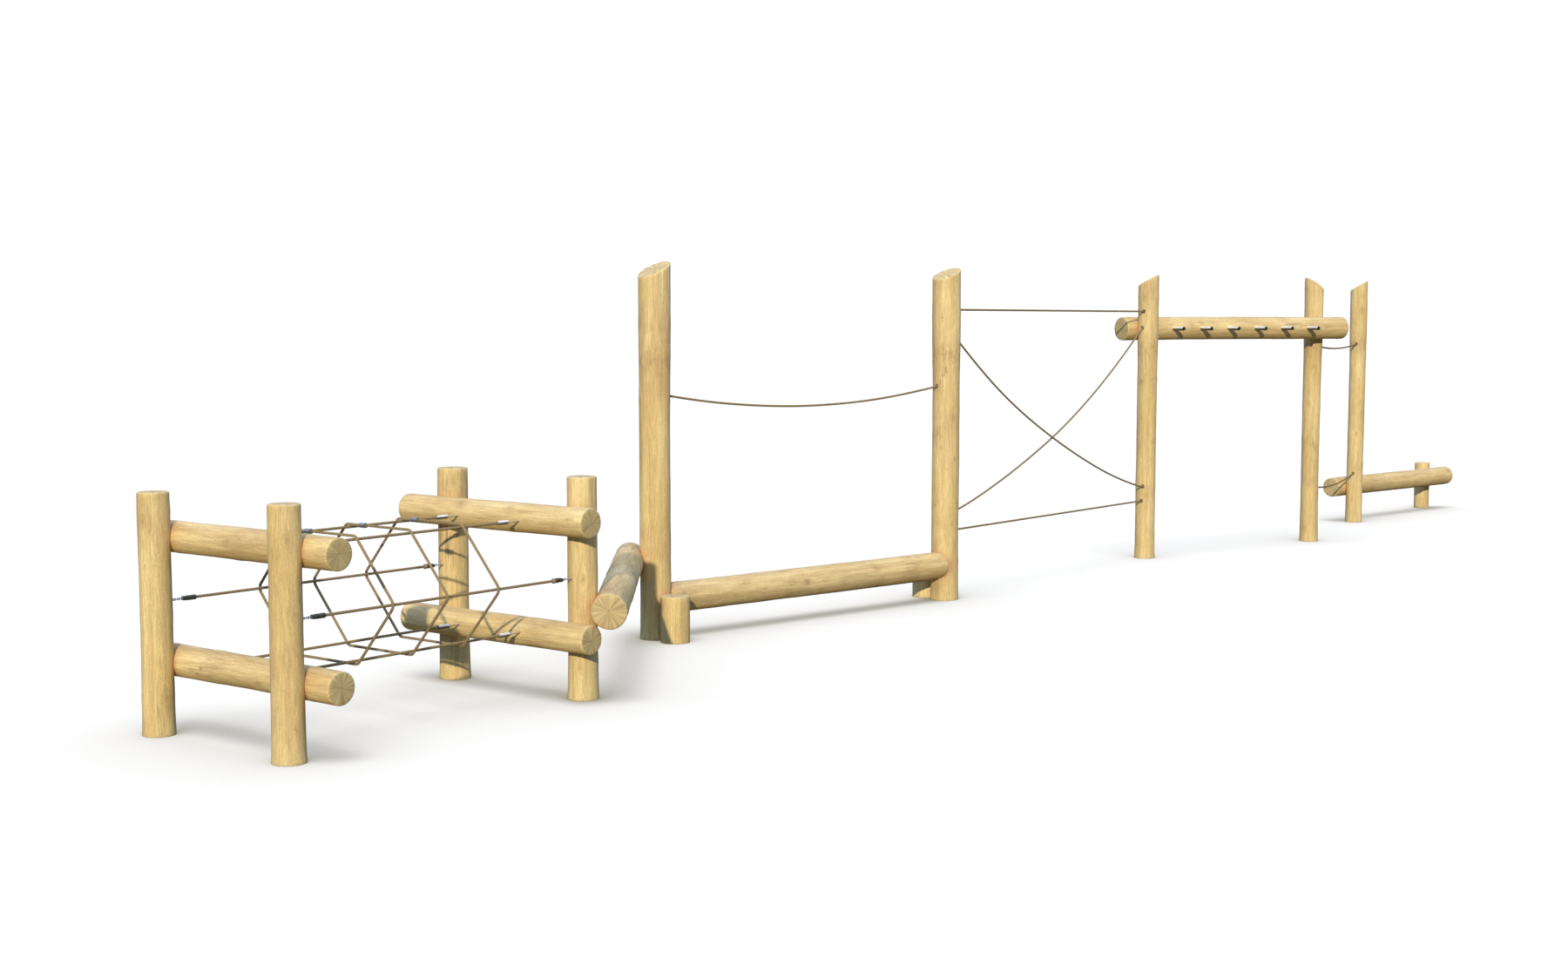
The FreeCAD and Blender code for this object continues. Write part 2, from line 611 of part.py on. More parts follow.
long_ferrule = forked_ferrule("long_ferrule", "size.ferrule_long", size("pin_to_rope_a"))
copies("side_ferrules_long", long_ferrule, side_places("a"))
short_ferrule = forked_ferrule("short_ferrule", "size.ferrule_short", size("pin_to_rope_b"))
copies("side_ferrules_short", short_ferrule, side_places("b"))
fork_pin = rod("fork_pin", V(0, -size("ferrule_dia") / 2 - size("pin_proud"), 0), LEFT,
               "size.pin_dia", "size.ferrule_dia + 2 * size.pin_proud")
copies("fork_pins", fork_pin, side_places("a") + side_places("b"))
knob_at = SHORT_REACH + size("knob_dia") / 2 + size("knob_gap")
knob = cut("rope_knob", ball("knob_ball", V(0, 0, knob_at), "size.knob_dia"),
           [rod("knob_bore", V(0, 0, 0), UP, "size.rope_dia + size.fit_play", REACH)])
copies("side_knobs", knob, side_places("b"))


def chain_link():
    """One straight-sided link: two half rings and two straight wires, its middle at the origin."""
    wire, inner, width = "size.chain_wire", size("chain_inner"), size("chain_width")
    bend = (width + size("chain_wire")) / 2
    straight = inner / 2 - width / 2
    ends, sides = [], []
    for sign in (1, -1):
        ring = doc.addObject("Part::Torus", "link_end_%d" % (sign + 2))
        ring.Radius1 = bend
        ring.setExpression("Radius2", wire + " / 2")
        ring.Angle3 = 180
        turn = Rotation(UP, 0 if sign == 1 else 180)
        ring.Placement = Placement(V(0, 0, sign * straight), Rotation(ALONG, 90).multiply(turn))
        ends.append(ring)
        sides.append(rod("link_side_%d" % (sign + 2), V(sign * bend, 0, -straight), UP,
                         wire, "%.3f" % (2 * straight)))
    return fuse("chain_link", ends + sides)


link = chain_link()
link_pitch = size("chain_inner") - size("chain_play")
first_link = (size("pin_dia") - size("chain_inner")) / 2 + size("chain_play")
places = []
for frame in FRAMES:
    for place in side_places(frame):
        for i in range(int(size("chain_links"))):
            shift = Placement(V(0, 0, first_link - i * link_pitch),
                              Rotation(UP, 0 if i % 2 == 0 else 90))
            places.append(place.multiply(shift))
copies("side_chains", link, places)

eye_ring = doc.addObject("Part::Torus", "eye_ring")
eye_ring.setExpression("Radius1", "size.eye_ring")
eye_ring.setExpression("Radius2", "size.eye_wire / 2")
eye_ring.Placement = Placement(V(0, 0, 0), Rotation(ALONG, 90))
eye_stem = rod("eye_stem", V(0, 0, -size("eye_ring")), UP * -1, "size.eye_stem",
               "size.eye_shank - size.eye_ring + size.eye_centre - size.end_room")
post_eye = fuse("post_eye", [eye_ring, eye_stem])
copies("post_eyes", post_eye,
       [place.multiply(Placement(V(0, 0, size("eye_centre") - size("pin_offset")),
                                 Rotation(UP, 90)))
        for frame in FRAMES for place in side_places(frame)])

# ---------------------------------------------------------------- hoops and their clamps
# A hoop runs outside the six long ropes and touches each with its bends; the outward offset of
# a corner is the gap between centre lines plus what the bend cuts off the corner.
CLEAR = size("rope_dia") + size("hoop_gap")
SLOPE = math.atan2((size("net_top_z") - size("net_bottom_z")) / 2,
                   size("side_rope_y") - size("net_half_width"))


def corner_offset(turn):
    return CLEAR + size("hoop_bend") * (1 / math.cos(turn / 2) - 1)


HOOP_TOP = size("net_top_z") + corner_offset(SLOPE) * math.cos(SLOPE / 2)
HOOP_BOTTOM = size("net_bottom_z") - corner_offset(SLOPE) * math.cos(SLOPE / 2)
HOOP_CORNER = size("net_half_width") + corner_offset(SLOPE) * math.sin(SLOPE / 2)
HOOP_SIDE = size("side_rope_y") + corner_offset(math.pi - 2 * SLOPE)
CLAMP_Y = size("clamp_side")        # each hoop is closed in a clamp on its top edge
WALL = size("clamp_wall") / 2       # half of the solid middle between the two rope ends
HOOP_X = [PITCH / 2 + i * size("hoop_pitch") for i in (-1, 0, 1)]
for i, x in enumerate(HOOP_X, start=1):
    cord("net_hoop_%d" % i,
         [tunnel(x, CLAMP_Y + WALL, HOOP_TOP), tunnel(x, HOOP_CORNER, HOOP_TOP),
          tunnel(x, HOOP_SIDE, size("side_rope_z")), tunnel(x, HOOP_CORNER, HOOP_BOTTOM),
          tunnel(x, -HOOP_CORNER, HOOP_BOTTOM), tunnel(x, -HOOP_SIDE, size("side_rope_z")),
          tunnel(x, -HOOP_CORNER, HOOP_TOP), tunnel(x, CLAMP_Y - WALL, HOOP_TOP)],
         size("hoop_bend"))
clamp = cut("hoop_clamp", rod("clamp_body", V(0, -size("clamp_length") / 2, 0), LEFT,
                              "size.clamp_dia", "size.clamp_length"),
            [rod("clamp_bore_%d" % (i + 1), out * (WALL - PLAY), out,
                 "size.rope_dia + size.fit_play", REACH)
             for i, out in enumerate((LEFT, LEFT * -1))])
copies("hoop_clamps", clamp,
       [Placement(tunnel(x, CLAMP_Y, HOOP_TOP), Rotation()) for x in HOOP_X])

# ---------------------------------------------------------------- ropes between the posts
for rope, (run, _, side, _, route) in HANGING.items():
    first, last = ANCHORS[rope]
    cord(rope, [first] + [run.at(along, side, z) for along, z in route] + [last])
for rope in TAUT:
    first, last = ANCHORS[rope]
    straight = rod(rope + "_cord", first, last - first, "size.rope_dia",
                   "%.3f" % (last - first).Length)
    node(straight, rope)


def leaving(rope, end):
    """Unit direction in which a rope leaves its ball."""
    first, last = ANCHORS[rope]
    if rope in TAUT:
        return (last - first).normalize() * (1 if end == 0 else -1)
    run, _, side, _, route = HANGING[rope]
    along, z = route[0] if end == 0 else route[-1]
    return (run.at(along, side, z) - (first, last)[end]).normalize()


def rope_balls(label, ropes):
    """Swaged ball ends, each bored for its rope."""
    doc.recompute()
    pieces = []
    for rope in ropes:
        for end in (0, 1):
            centre, out = ANCHORS[rope][end], leaving(rope, end)
            name = "%s_ball_%d" % (rope, end + 1)
            sphere = ball(name + "_body", centre, "size.ball_dia")
            sphere.Placement = facing(out, centre)
            bore = rod(name + "_bore", centre - out * PLAY / 2, out,
                       "size.rope_dia + size.fit_play", REACH)
            pieces.append(cut(name, sphere, [bore]))
    group = doc.addObject("Part::Compound", label + "_set")
    group.Links = pieces
    node(group, label)


for rope in HANGING:
    rope_balls(rope + "_ends", [rope])
rope_balls("panel_rope_ends", list(TAUT))

socket_body = rod("socket_body", V(0, 0, -size("socket_back")), UP, "size.socket_dia",
                  "size.socket_back + size.socket_front")
seat = ball("socket_seat", V(0, 0, 0), "size.ball_dia + 2 * size.ball_gap")
flare = doc.addObject("Part::Cone", "socket_flare")
flare.setExpression("Radius1", "size.flare_narrow")
flare.setExpression("Radius2", "size.flare_wide")
flare.setExpression("Height", "size.socket_front - size.flare_start + size.end_room")
flare.Placement.Base = V(0, 0, size("flare_start"))
copies("rope_sockets", cut("rope_socket", socket_body, [seat, flare]),
       [facing(out, centre) for _, centre, out, _ in ROPE_ENDS])

# ---------------------------------------------------------------- check and write
doc.recompute()
faults = [obj.Name for obj in doc.Objects if "Invalid" in obj.State or "Error" in obj.State]
faults += [obj.Label for obj in parts if obj.Shape.isNull() or not obj.Shape.isValid()]
if faults:
    raise SystemExit("failed objects: " + ", ".join(faults))
os.makedirs("parts", exist_ok=True)
for obj in parts:
    obj.Shape.exportStep("parts/%s.step" % obj.Label)
print("%d sub-parts, %d solids" % (len(parts), sum(len(obj.Shape.Solids) for obj in parts)))
for rope, (first, last) in ANCHORS.items():
    print("hinge line %s: (%.1f, %.1f, %.1f) to (%.1f, %.1f, %.1f)"
          % ((rope,) + tuple(first) + tuple(last)))
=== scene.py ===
"""Looks for the timber climbing trail: peeled logs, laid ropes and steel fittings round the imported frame."""
import math
import random

import bpy
import numpy as np
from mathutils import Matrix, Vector, noise


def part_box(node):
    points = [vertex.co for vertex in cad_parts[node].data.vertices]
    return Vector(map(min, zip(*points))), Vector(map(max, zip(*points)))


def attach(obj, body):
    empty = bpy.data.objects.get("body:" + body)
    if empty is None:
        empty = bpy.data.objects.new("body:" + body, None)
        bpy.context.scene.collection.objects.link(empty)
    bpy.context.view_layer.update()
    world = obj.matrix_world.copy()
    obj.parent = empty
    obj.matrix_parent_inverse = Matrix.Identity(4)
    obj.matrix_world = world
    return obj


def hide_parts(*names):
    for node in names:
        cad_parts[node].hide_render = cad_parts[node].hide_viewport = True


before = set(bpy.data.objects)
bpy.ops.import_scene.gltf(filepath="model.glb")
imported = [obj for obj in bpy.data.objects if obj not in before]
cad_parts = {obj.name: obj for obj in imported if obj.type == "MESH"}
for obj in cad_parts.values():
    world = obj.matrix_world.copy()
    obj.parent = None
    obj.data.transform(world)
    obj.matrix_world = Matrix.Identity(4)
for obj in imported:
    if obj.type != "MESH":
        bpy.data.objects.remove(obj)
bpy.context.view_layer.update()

UP = Vector((0, 0, 1))


# ---------------------------------------------------------------- camera
CAMERA_AT = (-13.9218, -8.1503, 2.137)
CAMERA_HEADING, CAMERA_PITCH = math.radians(37.9), math.radians(5.012)
CAMERA_LENS, CAMERA_SENSOR, CAMERA_REACH = 45.42, 36.0, 200


def make_camera():
    data = bpy.data.cameras.new("camera")
    data.sensor_fit, data.sensor_width, data.lens = "HORIZONTAL", CAMERA_SENSOR, CAMERA_LENS
    data.clip_end = CAMERA_REACH
    camera = bpy.data.objects.new("camera", data)
    camera.location = CAMERA_AT
    camera.rotation_euler = (math.pi / 2 - CAMERA_PITCH, 0, CAMERA_HEADING - math.pi / 2)
    bpy.context.scene.collection.objects.link(camera)
    bpy.context.scene.camera = camera


make_camera()


# ---------------------------------------------------------------- set-out, as in the part
def middle(node):
    """Plan position of an upright log."""
    low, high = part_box(node)
    return Vector(((low.x + high.x) / 2, (low.y + high.y) / 2, 0))


class Run:
    """A level line past or between two posts, with its own ahead and left."""

    def __init__(self, first, second, first_offset=0.0, second_offset=0.0):
        a, b = middle(first), middle(second)
        span = b - a
        turn = math.asin((second_offset - first_offset) / span.length)
        heading = math.atan2(span.y, span.x) + turn
        self.ahead = Vector((math.cos(heading), math.sin(heading), 0))
        self.left = Vector((-self.ahead.y, self.ahead.x, 0))
        self.start = a + self.left * first_offset
        self.length = span.length * math.cos(turn)

    def at(self, along, side, height):
        return self.start + self.ahead * along + self.left * side + UP * height


LOG_OFFSET = 0.155                      # how far a log's axis passes beside a post's
LINK_OFFSETS = (-0.160, 0.180)          # the same for the link log, at each of its two posts
LINK = Run("frame_b_post_right", "tall_post_1", *LINK_OFFSETS)
BALANCE = Run("tall_post_1", "tall_post_2")
PANEL = Run("tall_post_2", "tall_post_3")
OVERHEAD = Run("tall_post_3", "tall_post_4", LOG_OFFSET, -LOG_OFFSET)
RUNGS = Run("tall_post_4", "tall_post_5")
END = Run("tall_post_5", "end_post", LOG_OFFSET, -LOG_OFFSET)

TUNNEL_X, TUNNEL_Y = -8.0023, -0.0075   # the middle of frame a
PITCH = 2.037                           # from frame a to frame b


def tunnel(ahead, side, height):
    """A point set out from the middle of frame a."""
    return Vector((TUNNEL_X + ahead, TUNNEL_Y + side, height))


# ---------------------------------------------------------------- mesh helpers
def add_mesh(name, verts, faces, smooth_angle=None):
    mesh = bpy.data.meshes.new(name)
    mesh.from_pydata([tuple(v) for v in verts], [], faces)
    mesh.validate()
    mesh.update()
    if smooth_angle is not None:
        mesh.shade_smooth()
        mesh.set_sharp_from_angle(angle=math.radians(smooth_angle))
    obj = bpy.data.objects.new(name, mesh)
    bpy.context.scene.collection.objects.link(obj)
    return obj


def set_vectors(mesh, name, values):
    layer = mesh.attributes.new(name, "FLOAT_VECTOR", "POINT")
    layer.data.foreach_set("vector", np.asarray(values, np.float32).ravel())


def side_vectors(axis):
    """Two unit vectors that make a right-handed frame with an axis."""
    axis = Vector(axis).normalized()
    upright = abs(axis.z) > 0.9
    u = Vector((1, 0, 0)) if upright else UP.cross(axis).normalized()
    v = axis.cross(u).normalized()
    return v.cross(axis), v, axis


# ---------------------------------------------------------------- ropes
ROPE = 0.016
STRAND_RADIUS = ROPE * 0.19
STRANDS, LAY_LENGTH, STRAND_SIDES, RING_STEP = 6, 0.118, 7, 0.0075
ROPE_SHARP = 50                         # degrees between faces, above which an edge stays sharp


def route_line(points):
    """The smooth line of a rope: a NURBS spline with the route's points as its control points."""
    curve = bpy.data.curves.new("route", "CURVE")
    curve.dimensions = "3D"
    spline = curve.splines.new("NURBS")
    spline.points.add(len(points) - 1)
    for target, point in zip(spline.points, points):
        target.co = (*point, 1)
    spline.order_u = 3
    spline.use_endpoint_u = True
    runs = sum((b - a).length for a, b in zip(points, points[1:]))
    spline.resolution_u = min(1000, math.ceil(runs / RING_STEP / (len(points) - 2)))
    carrier = bpy.data.objects.new("route", curve)
    mesh = bpy.data.meshes.new_from_object(carrier)
    line = [v.co.copy() for v in mesh.vertices]
    bpy.data.objects.remove(carrier)
    bpy.data.curves.remove(curve)
    bpy.data.meshes.remove(mesh)
    return line


def laid_rope(name, line):
    """Six strands laid round a core along the line, each a closed tube. The attribute "lay" holds the
    way along the rope, the angle on the strand and the strand's number."""
    rings = len(line)
    along, here = [0.0], 0.0
    for a, b in zip(line, line[1:]):
        here += (b - a).length
        along.append(here)
    tangents = [(line[min(i + 1, rings - 1)] - line[max(i - 1, 0)]).normalized() for i in range(rings)]
    normal = UP.cross(tangents[0])
    if normal.length < 0.1:
        normal = Vector((1, 0, 0)).cross(tangents[0])
    verts, faces, lay, frames = [], [], [], []
    for tangent in tangents:
        normal = (normal - tangent * normal.dot(tangent)).normalized()
        frames.append((normal.copy(), tangent.cross(normal)))
    for strand in range(STRANDS + 1):
        core = strand == STRANDS
        offset = 0.0 if core else ROPE / 2 - STRAND_RADIUS
        first = len(verts)
        for i, (point, (n, b)) in enumerate(zip(line, frames)):
            turn = 2 * math.pi * (along[i] / LAY_LENGTH + strand / STRANDS)
            radial = n * math.cos(turn) + b * math.sin(turn)
            across = b * math.cos(turn) - n * math.sin(turn)
            centre = point + radial * offset
            for k in range(STRAND_SIDES):
                angle = 2 * math.pi * k / STRAND_SIDES
                verts.append(centre + (radial * math.cos(angle) + across * math.sin(angle)) * STRAND_RADIUS)
                lay.append((along[i], angle, strand))
        for i in range(rings - 1):
            for k in range(STRAND_SIDES):
                a = first + i * STRAND_SIDES + k
                b = first + i * STRAND_SIDES + (k + 1) % STRAND_SIDES
                faces.append((a, b, b + STRAND_SIDES, a + STRAND_SIDES))
        faces.append(tuple(first + k for k in reversed(range(STRAND_SIDES))))
        last = first + (rings - 1) * STRAND_SIDES
        faces.append(tuple(last + k for k in range(STRAND_SIDES)))
    obj = add_mesh(name, verts, faces, ROPE_SHARP)
    set_vectors(obj.data, "lay", lay)
    return obj


def add_rope(node, points, body):
    """Lays a rope along its route in place of its CAD node."""
    line = route_line(points)
    rope = laid_rope("laid_" + node, line)
    length = sum((b - a).length for a, b in zip(line, line[1:]))
    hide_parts(node)
    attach(rope, body)
    rope.data.materials.append(ROPE_MATERIAL)
    print("rope %s: %.3f m" % (node, length))


# ---------------------------------------------------------------- materials
class Shader:
    """A node material, with short calls for the nodes that it is made of."""

    def __init__(self, name, **sockets):
        self.material = bpy.data.materials.new(name)
        self.material.use_nodes = True
        self.tree = self.material.node_tree
        self.tree.nodes.clear()
        out = self.tree.nodes.new("ShaderNodeOutputMaterial")
        self.surface = self.tree.nodes.new("ShaderNodeBsdfPrincipled")
        self.tree.links.new(self.surface.outputs[0], out.inputs["Surface"])
        self.set(self.surface, {k.replace("_", " "): v for k, v in sockets.items()})

    def set(self, node, inputs):
        for key, value in inputs.items():
            if isinstance(value, bpy.types.NodeSocket):
                self.tree.links.new(value, node.inputs[key])
            else:
                node.inputs[key].default_value = value

    def node(self, kind, inputs=None, **settings):
        node = self.tree.nodes.new("ShaderNode" + kind)
        for key, value in settings.items():
            setattr(node, key, value)
        self.set(node, inputs or {})
        return node

    def attribute(self, name):
        return self.node("Attribute", attribute_name=name).outputs["Vector"]

    def place(self):
        return self.node("TexCoord").outputs["Object"]

    def split(self, vector):
        return list(self.node("SeparateXYZ", {0: vector}).outputs)

    def join(self, x, y, z):
        return self.node("CombineXYZ", {0: x, 1: y, 2: z}).outputs[0]

    def math(self, operation, *values):
        return self.node("Math", dict(enumerate(values)), operation=operation).outputs[0]

    def vector(self, operation, *values):
        node = self.node("VectorMath", dict(enumerate(values)), operation=operation)
        return node.outputs["Value" if operation == "LENGTH" else "Vector"]

    def times(self, vector, x, y, z):
        return self.vector("MULTIPLY", vector, (x, y, z))

    def scaled(self, vector, factor):
        node = self.node("VectorMath", {0: vector}, operation="SCALE")
        self.set(node, {"Scale": factor})
        return node.outputs["Vector"]

    def noise(self, vector, scale=1.0, detail=2.0, roughness=0.5, distortion=0.0):
        return self.node("TexNoise", {"Vector": vector, "Scale": scale, "Detail": detail,
                                      "Roughness": roughness, "Distortion": distortion}).outputs[0]

    def streaks(self, vector, waves, detail=2.0, roughness=0.5, distortion=0.0):
        """Noise with so many waves per metre along each axis."""
        return self.noise(self.times(vector, *waves), 1.0, detail, roughness, distortion)

    def range(self, value, low, high, to_low=0.0, to_high=1.0, smooth=False):
        kind = "SMOOTHSTEP" if smooth else "LINEAR"
        return self.node("MapRange", {0: value, 1: low, 2: high, 3: to_low, 4: to_high},
                         interpolation_type=kind).outputs[0]

    def mix(self, factor, a, b):
        return self.node("Mix", {0: factor, 6: a, 7: b}, data_type="RGBA").outputs[2]

    def bump(self, height, strength, distance):
        normal = self.node("Bump", {"Height": height, "Strength": strength, "Distance": distance})
        self.set(self.surface, {"Normal": normal.outputs[0]})

    def finish(self, colour, roughness):
        self.set(self.surface, {"Base Color": colour, "Roughness": roughness})
        return self.material


def rgb(r, g, b):
    return (r, g, b, 1.0)


STAIN_TONE, FLECK_TONE, CHECK_TONE = rgb(0.52, 0.33, 0.14), rgb(0.20, 0.095, 0.03), rgb(0.13, 0.065, 0.025)
KNOT_RING_TONE, KNOT_HEART_TONE = rgb(0.34, 0.17, 0.06), rgb(0.20, 0.10, 0.035)
SAWN_DEEP, SAWN_PALE, SAWN_RING_TONE = rgb(0.36, 0.255, 0.10), rgb(0.66, 0.495, 0.205), rgb(0.33, 0.19, 0.075)
STAR_TONE, PITH_TONE = rgb(0.16, 0.085, 0.035), rgb(0.14, 0.07, 0.03)
# colour of the painted shade, with a warm painted bounce, in the corner where two logs meet
CORNER_SHADE_TONE = rgb(0.50, 0.22, 0.11)

# Waves per metre of the wood's figure: twice across the fibres, then along them.
FIBRE, BROAD, PATCH, LAYERS = (150, 150, 9.0), (26, 26, 1.1), (5.5, 5.5, 1.6), (8.5, 8.5, 0.75)
FLECKS, GRIT, ZONES, MOTTLE = (240, 240, 16), (330, 330, 70), (2.2, 2.2, 1.9), (34, 34, 15)
SPLITS, SPLIT_ZONES = (22, 22, 0.8), (4, 4, 1.5)
LAYER_LINES, KNOT_RINGS, GROWTH_RINGS = 15.0, 260.0, 340.0      # lines per unit of noise, and per metre
SEED_SHIFT = 7.3                        # metres of figure between one log and the next
KNOT_REACH, KNOT_PUSH = 0.030, 0.75     # how far and how much a knot pushes the fibres aside
RAY_SPREAD, FINE_RAYS = 4.5, 7.0


def wood_material(name, pale, deep, line, figure_share, sawn_tone):
    """Peeled softwood, with painted shade in the corners where logs meet. Mesh attributes: grain = place in
    the log with the pith along z, knot = step to the nearest knot, skin = (end grain, nearness to another log
    for the painted corner shade, seed), stain = (strength of a brown ring)."""
    s = Shader(name, IOR=1.42, Specular_IOR_Level=0.35)
    grain, knot = s.attribute("grain"), s.attribute("knot")
    end, corner_shade, seed = s.split(s.attribute("skin"))
    gx, gy, _ = s.split(grain)
    shift = s.join(0, 0, s.math("MULTIPLY", seed, SEED_SHIFT))

    # fibres part round a knot
    kx = s.split(knot)[0]
    reach = s.vector("LENGTH", s.times(knot, 1.0, 0.7, 0.0))
    distance = s.math("POWER", s.math("DIVIDE", reach, KNOT_REACH), 4.0)
    swell = s.math("DIVIDE", 1.0, s.math("ADD", 1.0, distance))
    around = s.vector("NORMALIZE", s.vector("CROSS_PRODUCT", (0, 0, 1), grain))
    aside = s.math("MULTIPLY", s.math("MULTIPLY", kx, swell), -KNOT_PUSH)
    place = s.vector("ADD", s.vector("ADD", grain, s.scaled(around, aside)), shift)

    # pale and deep patches, brown zones and rings, growth layers, fibres and flecks
    fibre = s.streaks(place, FIBRE, 5.0, 0.66, 0.35)
    broad = s.streaks(place, BROAD, 3.0, 0.55, 0.3)
    patch = s.streaks(place, PATCH)
    wave = s.math("PINGPONG", s.math("MULTIPLY", s.streaks(place, LAYERS, 1.5, 0.5, 0.25), LAYER_LINES), 1.0)
    figure = s.range(wave, 0.62, 0.98, smooth=True)
    fleck = s.range(s.streaks(place, FLECKS, 2.0, 0.6), 0.66, 0.76)
    grit = s.streaks(place, GRIT, 3.0, 0.7)
    zone = s.range(s.streaks(place, ZONES, 3.0, 0.6, 0.4), 0.50, 0.68, smooth=True)
    mottle = s.streaks(place, MOTTLE, 3.0, 0.6, 0.6)
    colour = s.mix(s.range(patch, 0.32, 0.68), pale, deep)
    brown = s.math("MULTIPLY", zone, s.range(mottle, 0.30, 0.62, 0.25, 0.75))
    stain = s.math("MULTIPLY", s.split(s.attribute("stain"))[0], s.range(mottle, 0.36, 0.60, 0.10, 0.85))
    colour = s.mix(s.math("MAXIMUM", brown, stain), colour, STAIN_TONE)
    colour = s.mix(s.range(broad, 0.35, 0.7, 0.0, 0.5), colour, line)
    colour = s.mix(s.math("MULTIPLY", figure, figure_share), colour, line)
    grain_tone = s.math("ADD", s.math("MULTIPLY", fibre, 0.55), s.math("MULTIPLY", grit, 0.45))
    colour = s.scaled(colour, s.range(grain_tone, 0.34, 0.66, 0.64, 1.23))
    colour = s.mix(s.math("MULTIPLY", fleck, 0.35), colour, FLECK_TONE)

    # drying checks: thin dark lines along the fibres
    split = s.streaks(place, SPLITS, 1.0, 0.5, 0.15)
    check = s.range(s.math("ABSOLUTE", s.math("SUBTRACT", split, 0.5)), 0.0015, 0.006, 1.0, 0.0)
    check = s.math("MULTIPLY", check, s.range(s.streaks(place, SPLIT_ZONES, 1.0), 0.55, 0.64))
    colour = s.mix(s.math("MULTIPLY", check, 0.55), colour, CHECK_TONE)

    # knots: a dark heart with rings round it
    heart = s.range(reach, 0.003, 0.012, 1.0, 0.0, smooth=True)
    rings = s.math("MULTIPLY", s.math("PINGPONG", s.math("MULTIPLY", reach, KNOT_RINGS), 1.0),
                   s.range(reach, 0.012, 0.040, 0.42, 0.0))
    colour = s.mix(rings, colour, KNOT_RING_TONE)
    colour = s.mix(s.math("MULTIPLY", heart, 0.20), colour, KNOT_HEART_TONE)

    # end grain: growth rings and rays from the pith
    flat = s.join(gx, gy, 0.0)
    radius = s.vector("LENGTH", flat)
    own_flat = s.vector("ADD", flat, shift)
    ray = s.vector("ADD", s.scaled(s.vector("NORMALIZE", flat), RAY_SPREAD), own_flat)
    sector = s.noise(ray, 1.0, 3.0, 0.75)
    fine_ray = s.noise(ray, FINE_RAYS, 2.0, 0.6)
    uneven = s.math("MULTIPLY", s.noise(own_flat, 30.0, 1.0), 0.006)
    ring = s.math("PINGPONG", s.math("MULTIPLY", s.math("ADD", radius, uneven), GROWTH_RINGS), 1.0)
    sawn = s.mix(s.range(sector, 0.36, 0.64), SAWN_DEEP, SAWN_PALE)
    sawn = s.mix(s.math("MULTIPLY", s.range(ring, 0.5, 1.0), 0.22), sawn, SAWN_RING_TONE)
    star = s.range(s.math("ABSOLUTE", s.math("SUBTRACT", fine_ray, 0.5)), 0.004, 0.03, 1.0, 0.0)
    star = s.math("MULTIPLY", star, s.range(radius, 0.0, 0.085, 1.0, 0.25))
    sawn = s.mix(s.math("MULTIPLY", star, 0.42), sawn, STAR_TONE)
    sawn = s.mix(s.range(radius, 0.002, 0.006, 0.6, 0.0), sawn, PITH_TONE)
    colour = s.mix(end, colour, s.scaled(sawn, sawn_tone))

    # painted shade, warmed as by light bounced between the logs, in the corner where two logs meet
    colour = s.mix(s.math("MULTIPLY", corner_shade, 0.55), colour, CORNER_SHADE_TONE)

    height = s.math("ADD", s.math("MULTIPLY", fibre, 0.55), s.math("MULTIPLY", figure, -0.18))
    height = s.math("SUBTRACT", height, s.math("MULTIPLY", check, 0.9))
    sawn_height = s.math("SUBTRACT", s.math("MULTIPLY", ring, -0.10), s.math("MULTIPLY", star, 0.8))
    s.bump(s.node("Mix", {0: end, 2: height, 3: sawn_height}, data_type="FLOAT").outputs[0], 0.45, 0.0016)
    return s.finish(colour, s.range(fibre, 0.3, 0.7, 0.74, 0.56))


YARNS, YARN_TWIST = 7.0, 900.0          # yarns round a strand, and their twist in radians per metre
ROPE_DEEP, ROPE_PALE = rgb(0.24, 0.165, 0.065), rgb(0.37, 0.27, 0.12)
YARN_TONE, FUZZ_TONE = rgb(0.52, 0.37, 0.20), rgb(0.10, 0.06, 0.03)
# the last colour here is that of the painted shade on the undersides of steel fittings
METAL_SCRATCH, METAL_GRAIN, UNDERSIDE_SHADE_TONE = 0.35, 260.0, rgb(0.06, 0.05, 0.03)


def rope_material():
    """Laid rope: each strand twisted from fine yarns, brown with paler worn places."""
    s = Shader("rope_yarn", IOR=1.45, Specular_IOR_Level=0.2)
    along, angle, strand = s.split(s.attribute("lay"))
    twist = s.math("MULTIPLY", along, YARN_TWIST)
    yarn = s.math("SINE", s.math("ADD", s.math("MULTIPLY", angle, YARNS), twist))
    turned = s.join(s.math("MULTIPLY", along, 40.0), angle, s.math("MULTIPLY", strand, 5.0))
    wear = s.noise(turned, 1.0, 4.0, 0.6)
    fuzz = s.noise(s.place(), 900.0, 3.0, 0.7)
    colour = s.mix(s.range(wear, 0.3, 0.7), ROPE_DEEP, ROPE_PALE)
    colour = s.mix(s.range(yarn, 0.1, 1.0, 0.0, 0.28), colour, YARN_TONE)
    colour = s.mix(s.range(fuzz, 0.35, 0.65, 0.22, 0.0), colour, FUZZ_TONE)
    s.bump(s.math("ADD", s.math("MULTIPLY", yarn, 0.5), fuzz), 0.6, 0.0006)
    return s.finish(colour, s.range(wear, 0.3, 0.7, 0.88, 0.7))


